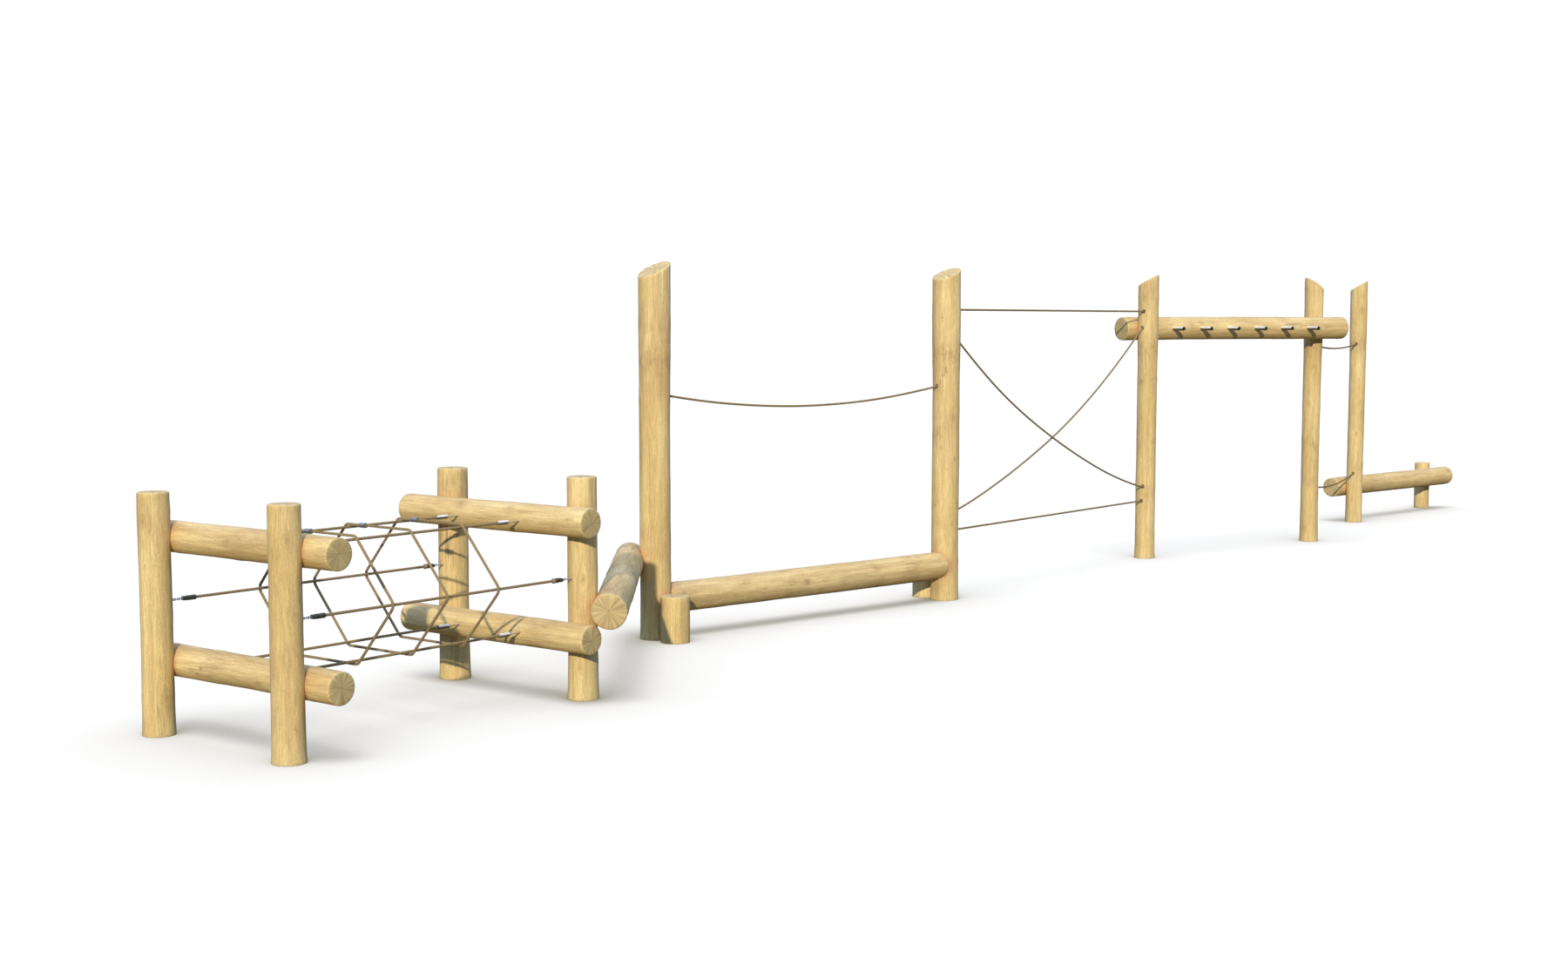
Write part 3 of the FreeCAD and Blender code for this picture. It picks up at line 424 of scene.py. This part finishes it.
def metal_material(name, dark, light, low, high, metallic, underside_shade=0.0):
    """Worked steel: cloudy tone, fine scratches, roughness from low to high; painted shade darkens its
    undersides.
    """
    s = Shader(name, Metallic=metallic)
    place = s.place()
    cloud = s.noise(place, 38.0, 3.0, 0.6)
    fine = s.noise(s.times(place, 1.0, 1.0, 0.3), METAL_GRAIN, 4.0, 0.65)
    colour = s.mix(s.range(cloud, 0.3, 0.7), dark, light)
    colour = s.mix(s.range(fine, 0.55, 0.75, 0.0, METAL_SCRATCH), colour, dark)
    if underside_shade:
        # painted shade: the further a face turns down, the more it is darkened
        facing = s.split(s.node("NewGeometry").outputs["Normal"])[2]
        colour = s.mix(s.range(facing, -0.15, 0.60, underside_shade, 0.0), colour, UNDERSIDE_SHADE_TONE)
    s.bump(fine, 0.25, 0.0004)
    return s.finish(colour, s.range(s.math("ADD", cloud, fine), 0.7, 1.3, low, high))


def moulded_material(name, dark, light, roughness):
    """A moulded or bound surface: fine pebble in the skin and faint scuffs."""
    s = Shader(name, IOR=1.48)
    place = s.place()
    pebble = s.node("TexVoronoi", {"Vector": place, "Scale": 900.0}).outputs["Distance"]
    scuff = s.streaks(place, (60, 60, 200), 4.0, 0.6)
    s.bump(pebble, 0.3, 0.0004)
    colour = s.mix(s.range(scuff, 0.45, 0.7), dark, light)
    return s.finish(colour, s.range(scuff, 0.3, 0.7, roughness, roughness + 0.15))


POST_WOOD = wood_material("peeled_post", rgb(0.845, 0.630, 0.264), rgb(0.705, 0.492, 0.180),
                          rgb(0.45, 0.27, 0.09), figure_share=0.13, sawn_tone=1.22)
BEAM_WOOD = wood_material("peeled_beam", rgb(0.845, 0.632, 0.276), rgb(0.70, 0.488, 0.186),
                          rgb(0.43, 0.25, 0.085), figure_share=0.27, sawn_tone=1.0)
ROPE_MATERIAL = rope_material()
# the last argument sets how strong the painted shade on the undersides is
BRIGHT = metal_material("swaged_steel", rgb(0.78, 0.73, 0.58), rgb(1.0, 0.96, 0.79), 0.28, 0.45,
                        metallic=0.35, underside_shade=0.90)
ZINC = metal_material("zinc_steel", rgb(0.44, 0.34, 0.18), rgb(0.62, 0.49, 0.27), 0.36, 0.58, metallic=0.2)
SOCKET = metal_material("socket_steel", rgb(0.36, 0.26, 0.14), rgb(0.50, 0.38, 0.22), 0.40, 0.65,
                        metallic=0.4)
DARK = metal_material("dark_steel", rgb(0.03, 0.034, 0.022), rgb(0.10, 0.105, 0.07), 0.38, 0.60,
                      metallic=0.6)
CHAIN = metal_material("chain_steel", rgb(0.38, 0.38, 0.34), rgb(0.60, 0.60, 0.55), 0.28, 0.50,
                       metallic=0.7)
# painted shade on the undersides here too
CLAMP = metal_material("blue_clamp", rgb(0.16, 0.175, 0.17), rgb(0.31, 0.335, 0.31), 0.34, 0.54,
                       metallic=0.35, underside_shade=0.5)
PLASTIC = moulded_material("black_plastic", rgb(0.008, 0.008, 0.008), rgb(0.026, 0.025, 0.023), 0.50)
KNOT = moulded_material("rope_knot", rgb(0.23, 0.14, 0.07), rgb(0.36, 0.24, 0.13), 0.75)
SLOT_MATERIALS = {
    "post_wood": POST_WOOD, "beam_wood": BEAM_WOOD, "rope": ROPE_MATERIAL, "rope_knot": KNOT,
    "bright_steel": BRIGHT, "blue_clamp": CLAMP, "dark_metal": DARK, "chain_steel": CHAIN,
    "black_plastic": PLASTIC, "zinc_steel": ZINC, "socket_steel": SOCKET,
}


# ---------------------------------------------------------------- logs
AROUND, LOG_STEP = 88, 0.015            # points round a log, and the step of its rings
EDGE, FOOT_EDGE, EDGE_STEPS = 0.009, 0.002, 3
FOOT_SHARES, TOP_SHARES = (0.15, 0.4, 0.7, 1.0), (0.85, 0.7, 0.5, 0.3, 0.12)   # rings on the end faces
LOG_SHARP = 42                          # degrees between faces, above which an edge stays sharp

BOW, WANDER, BOW_TURN = 0.003, 0.3, 2.4    # the pith's bow over TALL metres, its smaller waves, its turn
BROAD_SWELL, FINE_SWELL = (0.0017, 2.6), (0.0006, 11)       # height in metres, waves per metre
OVAL, WHORL_SWELL, WHORL_REACH = 0.006, 0.0009, 0.06
KNOT_SWELL, KNOT_FALL, KNOT_LIMIT = 0.0013, 0.0007, 0.006   # height in metres, the others in square metres
BUTT_FLARE, FLARE_REACH, SHORT_POST = 0.0065, 0.09, 0.6     # posts up to SHORT_POST have no flare
RING_SWELL, RING_EASE, RING_SHARE = 0.0045, 0.045, 0.3
BROWN_RING, LOW_RING = 1.82, 0.58       # knotty brown rings of the tall posts, above the ground
RING_RISE, RING_REACH, LOW_REACH, LOW_SHARE = 0.03, 0.10, 0.06, 0.6

FIRST_WHORL, NEXT_WHORL, KNOTS_IN_WHORL = (0.08, 0.30), (0.32, 0.55), (1, 2, 2, 3)
KNOT_STEP, KNOT_TURN, KNOT_SPREAD, KNOT_SIZES = 0.03, 2.2, 0.3, (0.6, 1.25)
SET_KNOTS = {"balance_beam": ((0.64, 2.53, 1.3), (1.89, 2.60, 1.1))}           # (along, angle, size)
KNOT_ZONE, SEED_BASE, PITH_OFF = 0.11, 1000, 0.07
# the second is how far from another log the painted corner shade reaches
END_DEPTH, CORNER_SHADE_REACH = 0.004, 0.012
TALL = 2.5
LOGS = []


class Log:
    """A peeled log: base point, axis, radius and length; slant = (degrees, heading of the high side)."""

    def __init__(self, node, base, axis, radius, length, slant=None, foot=EDGE, is_post=True):
        self.node, self.base, self.radius, self.length, self.slant = node, Vector(base), radius, length, slant
        self.u, self.v, self.w = side_vectors(axis)
        self.foot = foot
        self.is_post = is_post
        self.cutters = []
        self.seed = len(LOGS) + 1
        self.random = random.Random(SEED_BASE + self.seed)
        self.flare = BUTT_FLARE if is_post and length > SHORT_POST else 0.0
        self.whorls = []
        self.knots = self.place_knots() + list(SET_KNOTS.get(node, ()))
        self.ring = BROWN_RING if slant else None
        LOGS.append(self)

    def place_knots(self):
        """Whorls of small knots a few hundred millimetres apart: (along, angle, size)."""
        knots, along = [], self.random.uniform(*FIRST_WHORL)
        while along < self.length - KNOT_STEP:
            self.whorls.append(along)
            first = self.random.uniform(0, 2 * math.pi)
            for i in range(self.random.choice(KNOTS_IN_WHORL)):
                knots.append((along + self.random.uniform(-KNOT_STEP, KNOT_STEP),
                              first + i * KNOT_TURN + self.random.uniform(-KNOT_SPREAD, KNOT_SPREAD),
                              self.random.uniform(*KNOT_SIZES)))
            along += self.random.uniform(*NEXT_WHORL)
        return knots

    def top(self, angle, rho):
        """Height of the sawn top over a point of the section."""
        if not self.slant:
            return self.length
        rise = math.tan(math.radians(self.slant[0]))
        return self.length - (self.radius - rho * math.cos(angle - math.radians(self.slant[1]))) * rise

    def swell(self, angle, along):
        """How far the surface stands off a true cylinder."""
        p = Vector((math.cos(angle) * self.radius, math.sin(angle) * self.radius, along))
        p += Vector((3.1, 1.7, 5.3)) * self.seed
        out = sum(height * noise.noise(p * waves) for height, waves in (BROAD_SWELL, FINE_SWELL))
        out += OVAL * self.radius * math.cos(2 * angle + self.seed)
        out += sum(WHORL_SWELL * math.exp(-((along - whorl) / WHORL_REACH) ** 2) for whorl in self.whorls)
        if self.flare:
            out += self.flare * math.exp(-along / FLARE_REACH)
        if self.ring:
            above = 1 / (1 + math.exp((self.ring - along) / RING_EASE))
            out += RING_SWELL * (above - RING_SHARE)
        for k_along, k_angle, size in self.knots:
            across = self.radius * ((angle - k_angle + math.pi) % (2 * math.pi) - math.pi)
            gap = across * across + (along - k_along) ** 2
            if gap < KNOT_LIMIT:
                out += KNOT_SWELL * size * math.exp(-gap / KNOT_FALL)
        return out

    def bow(self, along):
        """A log is never quite straight: the pith wanders a few millimetres."""
        share = along / self.length
        turn = BOW_TURN * self.seed
        size = BOW * self.length / TALL
        arch = size * math.sin(math.pi * share)
        return (arch * math.cos(turn) + WANDER * size * math.sin(7 * share + turn),
                arch * math.sin(turn) + WANDER * size * math.sin(6 * share))

    def place(self, angle, rho, along):
        bx, by = self.bow(along)
        return (self.base + self.u * (math.cos(angle) * rho + bx) + self.v * (math.sin(angle) * rho + by)
                + self.w * along)

    def build(self):
        verts, faces = [], []
        angles = [2 * math.pi * k / AROUND for k in range(AROUND)]

        def ring(rho, along_of):
            """One ring of points at a radius; along_of gives each point's height from its angle."""
            first = len(verts)
            for angle in angles:
                along = along_of(angle)
                stand_off = self.swell(angle, along) * min(1, rho / self.radius)
                verts.append(self.place(angle, rho + stand_off, along))
            return first

        rings = []
        inner = self.radius - self.foot
        quarter = [math.pi / 2 * step / EDGE_STEPS for step in range(1, EDGE_STEPS + 1)]
        for share in FOOT_SHARES:
            rings.append(ring(inner * share, lambda a: 0.0))
        for turn in quarter:
            rise = self.foot * (1 - math.cos(turn))
            rings.append(ring(inner + self.foot * math.sin(turn), lambda a: rise))
        count = max(2, round((self.length - EDGE - self.foot) / LOG_STEP))
        for step in range(1, count + 1):
            rings.append(ring(self.radius, lambda a: self.foot
                              + (self.top(a, self.radius) - EDGE - self.foot) * step / count))
        for turn in quarter:
            rho = self.radius - EDGE * (1 - math.cos(turn))
            rings.append(ring(rho, lambda a: self.top(a, rho) - EDGE * (1 - math.sin(turn))))
        for share in TOP_SHARES:
            rho = (self.radius - EDGE) * share
            rings.append(ring(rho, lambda a: self.top(a, rho)))
        for a, b in zip(rings, rings[1:]):
            for k in range(AROUND):
                n = (k + 1) % AROUND
                faces.append((a + k, a + n, b + n, b + k))
        for first, along, flip in ((rings[0], 0.0, True), (rings[-1], self.top(0, 0), False)):
            verts.append(self.place(0, 0, along))
            for k in range(AROUND):
                n = (k + 1) % AROUND
                pair = (first + n, first + k) if flip else (first + k, first + n)
                faces.append((*pair, len(verts) - 1))
        obj = add_mesh("peeled_" + self.node, verts, faces)
        for cutter in self.cutters:
            carve(obj, *cutter)
        obj.data.shade_smooth()
        obj.data.set_sharp_from_angle(angle=math.radians(LOG_SHARP))
        obj.data.materials.clear()
        obj.data.materials.append(POST_WOOD if self.is_post else BEAM_WOOD)
        obj.data.polygons.foreach_set("material_index", [0] * len(obj.data.polygons))
        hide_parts(self.node)
        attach(obj, "trail")
        self.obj = obj

    def gap(self, points):
        """Distance of points from this log's surface."""
        rel = points - np.array(self.base)
        along = np.clip(rel @ np.array(self.w), 0, self.length)
        return np.linalg.norm(rel - along[:, None] * np.array(self.w), axis=1) - self.radius

    def mark(self):
        """Attributes that the wood material reads, worked out from each point's place."""
        mesh = self.obj.data
        points = np.zeros(len(mesh.vertices) * 3, np.float32)
        mesh.vertices.foreach_get("co", points)
        points = points.reshape(-1, 3).astype(float)
        rel = points - np.array(self.base)
        x, y, z = (rel @ np.array(axis) for axis in (self.u, self.v, self.w))
        bows = np.array([self.bow(t) for t in z])
        x, y = x - bows[:, 0], y - bows[:, 1]
        pith = self.random.uniform(0, 2 * math.pi)
        off = PITH_OFF * self.radius
        set_vectors(mesh, "grain", np.stack([x + off * math.cos(pith), y + off * math.sin(pith), z], 1))
        angle = np.arctan2(y, x)
        step = np.full((len(z), 3), 1.0)
        nearest = np.full(len(z), 9.0)
        for k_along, k_angle, size in self.knots:
            across = self.radius * ((angle - k_angle + math.pi) % (2 * math.pi) - math.pi) / size
            along = (z - k_along) / size
            gap = np.hypot(across, along)
            here = (gap < nearest) & (gap < KNOT_ZONE)
            step[here] = np.stack([across, along, np.zeros(len(z))], 1)[here]
            nearest[here] = gap[here]
        set_vectors(mesh, "knot", step)
        stain = np.zeros(len(z))
        if self.ring:
            stain += np.exp(-((z - self.ring - RING_RISE) / RING_REACH) ** 2)
            stain += LOW_SHARE * np.exp(-((z - LOW_RING) / LOW_REACH) ** 2)
        set_vectors(mesh, "stain", np.stack([stain, stain, stain], 1))
        rho = np.hypot(x, y)
        top = np.array([self.top(a, r) for a, r in zip(angle, rho)]) if self.slant else self.length
        depth = np.minimum(z, top - z)
        end = np.clip(1 - depth / END_DEPTH, 0, 1)
        # nearness to the other logs, which the wood material turns into painted corner shade
        corner_shade = np.zeros(len(z))
        for other in LOGS:
            if other is not self:
                corner_shade = np.maximum(corner_shade, np.exp(-np.maximum(other.gap(points), 0) / CORNER_SHADE_REACH))
        set_vectors(mesh, "skin", np.stack([end, corner_shade, np.full(len(z), float(self.seed))], 1))


CUT_TURN = 0.37                         # keeps the corners of a cutter off those of the log


def carve(obj, centre, axis, radius, length, sides=64):
    """Cuts a round hole or notch whose axis starts at centre."""
    u, v, w = side_vectors(axis)
    verts, faces = [], []
    for step in (0.0, length):
        for k in range(sides):
            angle = 2 * math.pi * (k + CUT_TURN) / sides
            verts.append(Vector(centre) + w * step + (u * math.cos(angle) + v * math.sin(angle)) * radius)
    for k in range(sides):
        n = (k + 1) % sides
        faces.append((k, n, n + sides, k + sides))
    faces.append(tuple(reversed(range(sides))))
    faces.append(tuple(range(sides, 2 * sides)))
    tool = add_mesh("tool", verts, faces)
    modifier = obj.modifiers.new("carve", "BOOLEAN")
    modifier.operation, modifier.solver, modifier.object = "DIFFERENCE", "MANIFOLD", tool
    bpy.context.view_layer.update()
    carved = bpy.data.meshes.new_from_object(obj.evaluated_get(bpy.context.evaluated_depsgraph_get()))
    obj.modifiers.clear()
    old, name = obj.data, obj.data.name
    obj.data = carved
    bpy.data.meshes.remove(old)
    carved.name = name
    mesh = tool.data
    bpy.data.objects.remove(tool)
    bpy.data.meshes.remove(mesh)


SLANTS = {                              # of the sawn tops: (degrees, heading of the high side)
    "tall_post_1": (27.5, -8), "tall_post_2": (24, -9), "tall_post_3": (30, -71),
    "tall_post_4": (35, 139), "tall_post_5": (31, -70),
}
STUB_RADIUS = 0.098
posts = {}
for node in sorted(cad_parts):
    if node in SLANTS or (node.startswith("frame_") and "_post_" in node) or node == "end_post":
        low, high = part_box(node)
        posts[node] = Log(node, middle(node), UP, round((high.x - low.x) / 2, 3),
                          TALL if node in SLANTS else high.z, SLANTS.get(node), foot=FOOT_EDGE)
for node in ("step_stub_1", "step_stub_2"):
    Log(node, middle(node), UP, STUB_RADIUS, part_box(node)[1].z, foot=FOOT_EDGE)

NOTCH, CUT_BELOW = 0.0002, 0.1          # play round a post, and how far under the ground a cut starts
LOW_CUT, TALL_CUT = 1.5, 2.8            # lengths of the cuts for the net posts and for the others


def notch(log, post, length):
    """Hollows a log where a post stands in it."""
    log.cutters.append((post.base - UP * CUT_BELOW, UP, post.radius + NOTCH, length))


def level_log(node, run, start, radius, length, height, seats):
    """A level log along a run, hollowed round the posts that it sits against."""
    log = Log(node, run.at(start, 0, height), run.ahead, radius, length, is_post=False)
    for post in seats:
        notch(log, posts[post], TALL_CUT)


BEAM_AHEAD, BEAM_RADIUS, BEAM_LENGTH = 0.135, 0.0825, 1.478
for side, ahead, shift in (("a", BEAM_AHEAD, -0.020), ("b", PITCH - BEAM_AHEAD, 0.019)):
    for level, height in (("upper", 1.010), ("lower", 0.365)):
        beam = Log("frame_%s_beam_%s" % (side, level), tunnel(ahead, shift - BEAM_LENGTH / 2, height),
                   (0, 1, 0), BEAM_RADIUS, BEAM_LENGTH, is_post=False)
        for hand in ("left", "right"):
            notch(beam, posts["frame_%s_post_%s" % (side, hand)], LOW_CUT)

level_log("link_log", LINK, start=-0.215, radius=0.1, length=2.5, height=0.52,
          seats=("frame_b_post_right", "tall_post_1"))
level_log("end_beam", END, start=-0.190, radius=0.0975, length=2.33, height=0.36,
          seats=("tall_post_5", "end_post"))
level_log("overhead_log", OVERHEAD, start=-0.172, radius=0.1025, length=2.585, height=2.025,
          seats=("tall_post_3", "tall_post_4"))
TRIM = 0.061                            # from a post's axis to the balance beam's hollowed end
level_log("balance_beam", BALANCE, start=TRIM, radius=0.103, length=BALANCE.length - 2 * TRIM, height=0.262,
          seats=("tall_post_1", "tall_post_2"))

# ---------------------------------------------------------------- rope lines
SOCKET_DEPTH = 0.022                    # of a rope's ball centre under its post's surface
BORE_BACK, BORE_RADIUS, BORE_LENGTH, BORE_SIDES = 0.0143, 0.0183, 0.09, 32
HANGING = {
    "hand_rope": (BALANCE, ("tall_post_1", "tall_post_2"), 0, (1.616, 1.614), [
        (0.140, 1.606), (0.330, 1.578), (0.540, 1.552), (0.760, 1.532), (0.990, 1.517), (1.220, 1.508),
        (1.450, 1.507), (1.680, 1.512), (1.910, 1.524), (2.130, 1.542), (2.340, 1.566), (2.520, 1.590),
        (2.630, 1.606)]),
    "cross_rope_1": (PANEL, ("tall_post_2", "tall_post_3"), -0.013, (1.995, 0.631), [
        (0.140, 1.954), (0.290, 1.850), (0.480, 1.723), (0.680, 1.598), (0.880, 1.484), (1.080, 1.380),
        (1.290, 1.279), (1.500, 1.185), (1.710, 1.096), (1.920, 1.012), (2.130, 0.933), (2.340, 0.858),
        (2.550, 0.790), (2.760, 0.730), (2.950, 0.682), (3.100, 0.648)]),
    "cross_rope_2": (PANEL, ("tall_post_2", "tall_post_3"), 0.013, (0.640, 2.041), [
        (0.150, 0.655), (0.310, 0.691), (0.500, 0.744), (0.710, 0.808), (0.920, 0.877), (1.130, 0.951),
        (1.340, 1.030), (1.550, 1.113), (1.750, 1.199), (1.950, 1.294), (2.150, 1.396), (2.350, 1.505),
        (2.550, 1.622), (2.750, 1.746), (2.930, 1.864), (3.080, 1.966)]),
    "link_rope_upper": (RUNGS, ("tall_post_4", "tall_post_5"), 0, (1.860, 1.849), [
        (0.120, 1.856), (0.290, 1.842), (0.500, 1.830), (0.720, 1.821), (0.950, 1.817), (1.180, 1.817),
        (1.400, 1.821), (1.610, 1.829), (1.780, 1.838), (1.890, 1.845)]),
    "link_rope_lower": (RUNGS, ("tall_post_4", "tall_post_5"), 0, (0.512, 0.508), [
        (0.120, 0.507), (0.290, 0.490), (0.500, 0.474), (0.720, 0.463), (0.950, 0.459), (1.180, 0.460),
        (1.400, 0.467), (1.610, 0.480), (1.780, 0.495), (1.890, 0.505)]),
}
TAUT = {
    "panel_rope_top": (2.184, 2.177),
    "panel_rope_bottom": (0.516, 0.510),
}


def anchors(run, pair, side, heights):
    """The two ball centres of a rope, sunk in their posts. Also bores the holes that it leaves by."""
    reach = [posts[p].radius - SOCKET_DEPTH for p in pair]
    a, b = run.at(reach[0], side, heights[0]), run.at(run.length - reach[1], side, heights[1])
    out = (b - a).normalized()
    for post, centre, way in ((pair[0], a, out), (pair[1], b, -out)):
        posts[post].cutters.append((centre - way * BORE_BACK, way, BORE_RADIUS, BORE_LENGTH, BORE_SIDES))
    return a, b


for node, (run, pair, side, heights, route) in HANGING.items():
    a, b = anchors(run, pair, side, heights)
    add_rope(node, [a] + [run.at(along, side, z) for along, z in route] + [b], node)

STRAIGHT = 0.1                          # from each end of a taut rope to its next point
for node, heights in TAUT.items():
    a, b = anchors(PANEL, ("tall_post_2", "tall_post_3"), 0, heights)
    out = (b - a).normalized()
    add_rope(node, [a, a + out * STRAIGHT, b - out * STRAIGHT, b], "trail")

NET_HALF, NET_TOP, NET_BOTTOM, SIDE_Y, SIDE_Z = 0.246, 1.001, 0.374, 0.518, 0.686
NET_ENDS, PIN_OFFSET = (0.3235, 1.7135), 0.08365
PIN_TO_ROPE_A, PIN_TO_ROPE_B = 0.040, 0.030


def side_ends(hand):
    """Where a side rope starts and stops inside its two ferrules."""
    a, b = posts["frame_a_post_" + hand].radius, posts["frame_b_post_" + hand].radius
    return a + PIN_OFFSET + PIN_TO_ROPE_A, PITCH - b - PIN_OFFSET - PIN_TO_ROPE_B


ROWS = [("net_rope_top_left", NET_HALF, NET_TOP, NET_ENDS),
        ("net_rope_top_right", -NET_HALF, NET_TOP, NET_ENDS),
        ("net_rope_bottom_left", NET_HALF, NET_BOTTOM, NET_ENDS),
        ("net_rope_bottom_right", -NET_HALF, NET_BOTTOM, NET_ENDS),
        ("net_rope_side_left", SIDE_Y, SIDE_Z, side_ends("left")),
        ("net_rope_side_right", -SIDE_Y, SIDE_Z, side_ends("right"))]
for node, side, height, (start, stop) in ROWS:
    points = [tunnel(x, side, height) for x in (start, start + STRAIGHT, stop - STRAIGHT, stop)]
    add_rope(node, points, "trail")

# Hoops: outside the six long ropes and touching them, each closed in its clamp.
HOOP_TOP, HOOP_BOTTOM, HOOP_CORNER, HOOP_SIDE, CLAMP_Y = 1.0194, 0.3556, 0.2544, 0.5461, 0.118
HOOP_PITCH, HOOP_GAP, HOOP_LENGTH = 0.365, 0.008, 2.726
HOOP_X = [PITCH / 2 + i * HOOP_PITCH for i in (-1, 0, 1)]
EASE_CORNER, EASE_SIDE = 0.036, 0.077


def hoop_points(x):
    """Corners in turn from the clamp, each with a point before and after it so that it bends softly."""
    corners = [((HOOP_CORNER, HOOP_TOP), EASE_CORNER), ((HOOP_SIDE, SIDE_Z), EASE_SIDE),
               ((HOOP_CORNER, HOOP_BOTTOM), EASE_CORNER), ((-HOOP_CORNER, HOOP_BOTTOM), EASE_CORNER),
               ((-HOOP_SIDE, SIDE_Z), EASE_SIDE), ((-HOOP_CORNER, HOOP_TOP), EASE_CORNER)]
    ends = [Vector((CLAMP_Y + HOOP_GAP, HOOP_TOP)), Vector((CLAMP_Y - HOOP_GAP, HOOP_TOP))]
    stops = [ends[0]] + [Vector(c) for c, _ in corners] + [ends[1]]
    flat = [ends[0]]
    for before, (corner, ease), after in zip(stops, corners, stops[2:]):
        corner = Vector(corner)
        flat += [corner + (before - corner).normalized() * ease, corner,
                 corner + (after - corner).normalized() * ease]
    flat.append(ends[1])
    return [tunnel(x, y, z) for y, z in flat]


for i, x in enumerate(HOOP_X, start=1):
    add_rope("net_hoop_%d" % i, hoop_points(x), "trail")

for log in LOGS:
    log.build()
for log in LOGS:
    log.mark()


# ---------------------------------------------------------------- fittings that keep their CAD shape
for name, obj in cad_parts.items():
    if obj.hide_render:
        continue
    for entry in obj.material_slots:
        slot = entry.material.name.split(".")[0] if entry.material else None
        if slot not in SLOT_MATERIALS:
            print("no material for", name, slot)
            continue
        entry.link = "OBJECT"
        entry.material = SLOT_MATERIALS[slot]


# ---------------------------------------------------------------- floor, sky and sun
FLOOR_HALF, FLOOR_DROP, SHADE_REACH = 60, 0.0005, 1.6
FLOOR_SHADED, FLOOR_OPEN, FLOOR_MATTE = rgb(0.225, 0.18, 0.08), rgb(0.59, 0.577, 0.535), rgb(0.12, 0.12, 0.12)


def make_floor():
    """A pale floor that glows by itself, with painted shade: the glow dims where an object stands close over
    it.
    """
    corners = [(-FLOOR_HALF, -FLOOR_HALF), (FLOOR_HALF, -FLOOR_HALF), (FLOOR_HALF, FLOOR_HALF),
               (-FLOOR_HALF, FLOOR_HALF)]
    floor = add_mesh("floor", [Vector((x, y, -FLOOR_DROP)) for x, y in corners], [(0, 1, 2, 3)])
    s = Shader("pale_floor")
    tree = s.tree
    tree.nodes.remove(s.surface)
    out = tree.nodes["Material Output"]
    # painted shade: occlusion mixes the glow from FLOOR_OPEN down to FLOOR_SHADED
    shade = s.node("AmbientOcclusion", {"Distance": SHADE_REACH}, samples=12, only_local=False).outputs["AO"]
    glow = s.node("Emission", {"Color": s.mix(s.range(shade, 0.25, 0.98), FLOOR_SHADED, FLOOR_OPEN)})
    matte = s.node("BsdfDiffuse", {"Color": FLOOR_MATTE})
    both = s.node("AddShader", {0: glow.outputs[0], 1: matte.outputs[0]})
    tree.links.new(both.outputs[0], out.inputs["Surface"])
    floor.data.materials.append(s.material)
    floor.visible_diffuse = floor.visible_glossy = False
    return floor


def make_sun(name, strength, colour, angle, heading, height):
    """A sun whose light comes from a heading and a height; all three angles are in degrees."""
    heading, height = math.radians(heading), math.radians(height)
    data = bpy.data.lights.new(name, "SUN")
    data.energy, data.color, data.angle = strength, colour, math.radians(angle)
    obj = bpy.data.objects.new(name, data)
    bpy.context.scene.collection.objects.link(obj)
    level = math.cos(height)
    to_sun = Vector((math.cos(heading) * level, math.sin(heading) * level, math.sin(height)))
    obj.rotation_euler = to_sun.to_track_quat("Z", "Y").to_euler()
    return obj


def link_light(light, receiver, exclude):
    """Makes a light shine only on one object, or on all but that one."""
    group = bpy.data.collections.new(light.name + "_receivers")
    light.light_linking.receiver_collection = group
    group.objects.link(receiver)
    if exclude:
        for item in group.collection_objects:
            item.light_linking.link_state = "EXCLUDE"


# Sky light by height: haze at the horizon, more overhead, a little from below.
GROUND_GLOW, HAZE, ZENITH = (0.16, 0.14, 0.085), (0.02, 0.215, 0.57), (1.44, 1.44, 1.76)
BACKDROP = 1.05


def make_world():
    """Sky light for the object, and plain white behind it."""
    world = bpy.data.worlds.new("studio")
    bpy.context.scene.world = world
    world.use_nodes = True
    tree = world.node_tree
    tree.nodes.clear()

    def node(kind):
        return tree.nodes.new("ShaderNode" + kind)

    out = node("OutputWorld")
    coord = node("TexCoord")
    split = node("SeparateXYZ")
    tree.links.new(coord.outputs["Generated"], split.inputs[0])
    ramp = node("ValToRGB")
    level = node("Math")
    level.operation = "MULTIPLY_ADD"
    tree.links.new(split.outputs["Z"], level.inputs[0])
    level.inputs[1].default_value = level.inputs[2].default_value = 0.5
    tree.links.new(level.outputs[0], ramp.inputs[0])
    stops = [(0.0, GROUND_GLOW), (0.47, GROUND_GLOW)]
    for height in (0.03, 0.25, 0.5, 0.75, 1.0):
        stops.append((0.5 + height / 2, tuple(h + z * height * height for h, z in zip(HAZE, ZENITH))))
    ramp.color_ramp.elements[0].color = (*stops[0][1], 1)
    ramp.color_ramp.elements[1].color = (*stops[-1][1], 1)
    for place, colour in stops[1:-1]:
        ramp.color_ramp.elements.new(place).color = (*colour, 1)
    sky = node("Background")
    tree.links.new(ramp.outputs[0], sky.inputs[0])
    white = node("Background")
    white.inputs[0].default_value = (1, 1, 1, 1)
    white.inputs[1].default_value = BACKDROP
    path = node("LightPath")
    choose = node("MixShader")
    tree.links.new(path.outputs["Is Camera Ray"], choose.inputs[0])
    tree.links.new(sky.outputs[0], choose.inputs[1])
    tree.links.new(white.outputs[0], choose.inputs[2])
    tree.links.new(choose.outputs[0], out.inputs["Surface"])


floor = make_floor()
sun = make_sun("sun", 3.3, (1.0, 0.93, 0.80), angle=0.9, heading=212.0, height=20.75)
link_light(sun, floor, exclude=True)
soft = make_sun("soft_floor_light", 9.6, (1.0, 0.99, 0.97), angle=34, heading=205, height=74)
link_light(soft, floor, exclude=False)
make_world()
bpy.context.scene.view_settings.view_transform = "Standard"
bpy.context.scene.view_settings.look = "None"
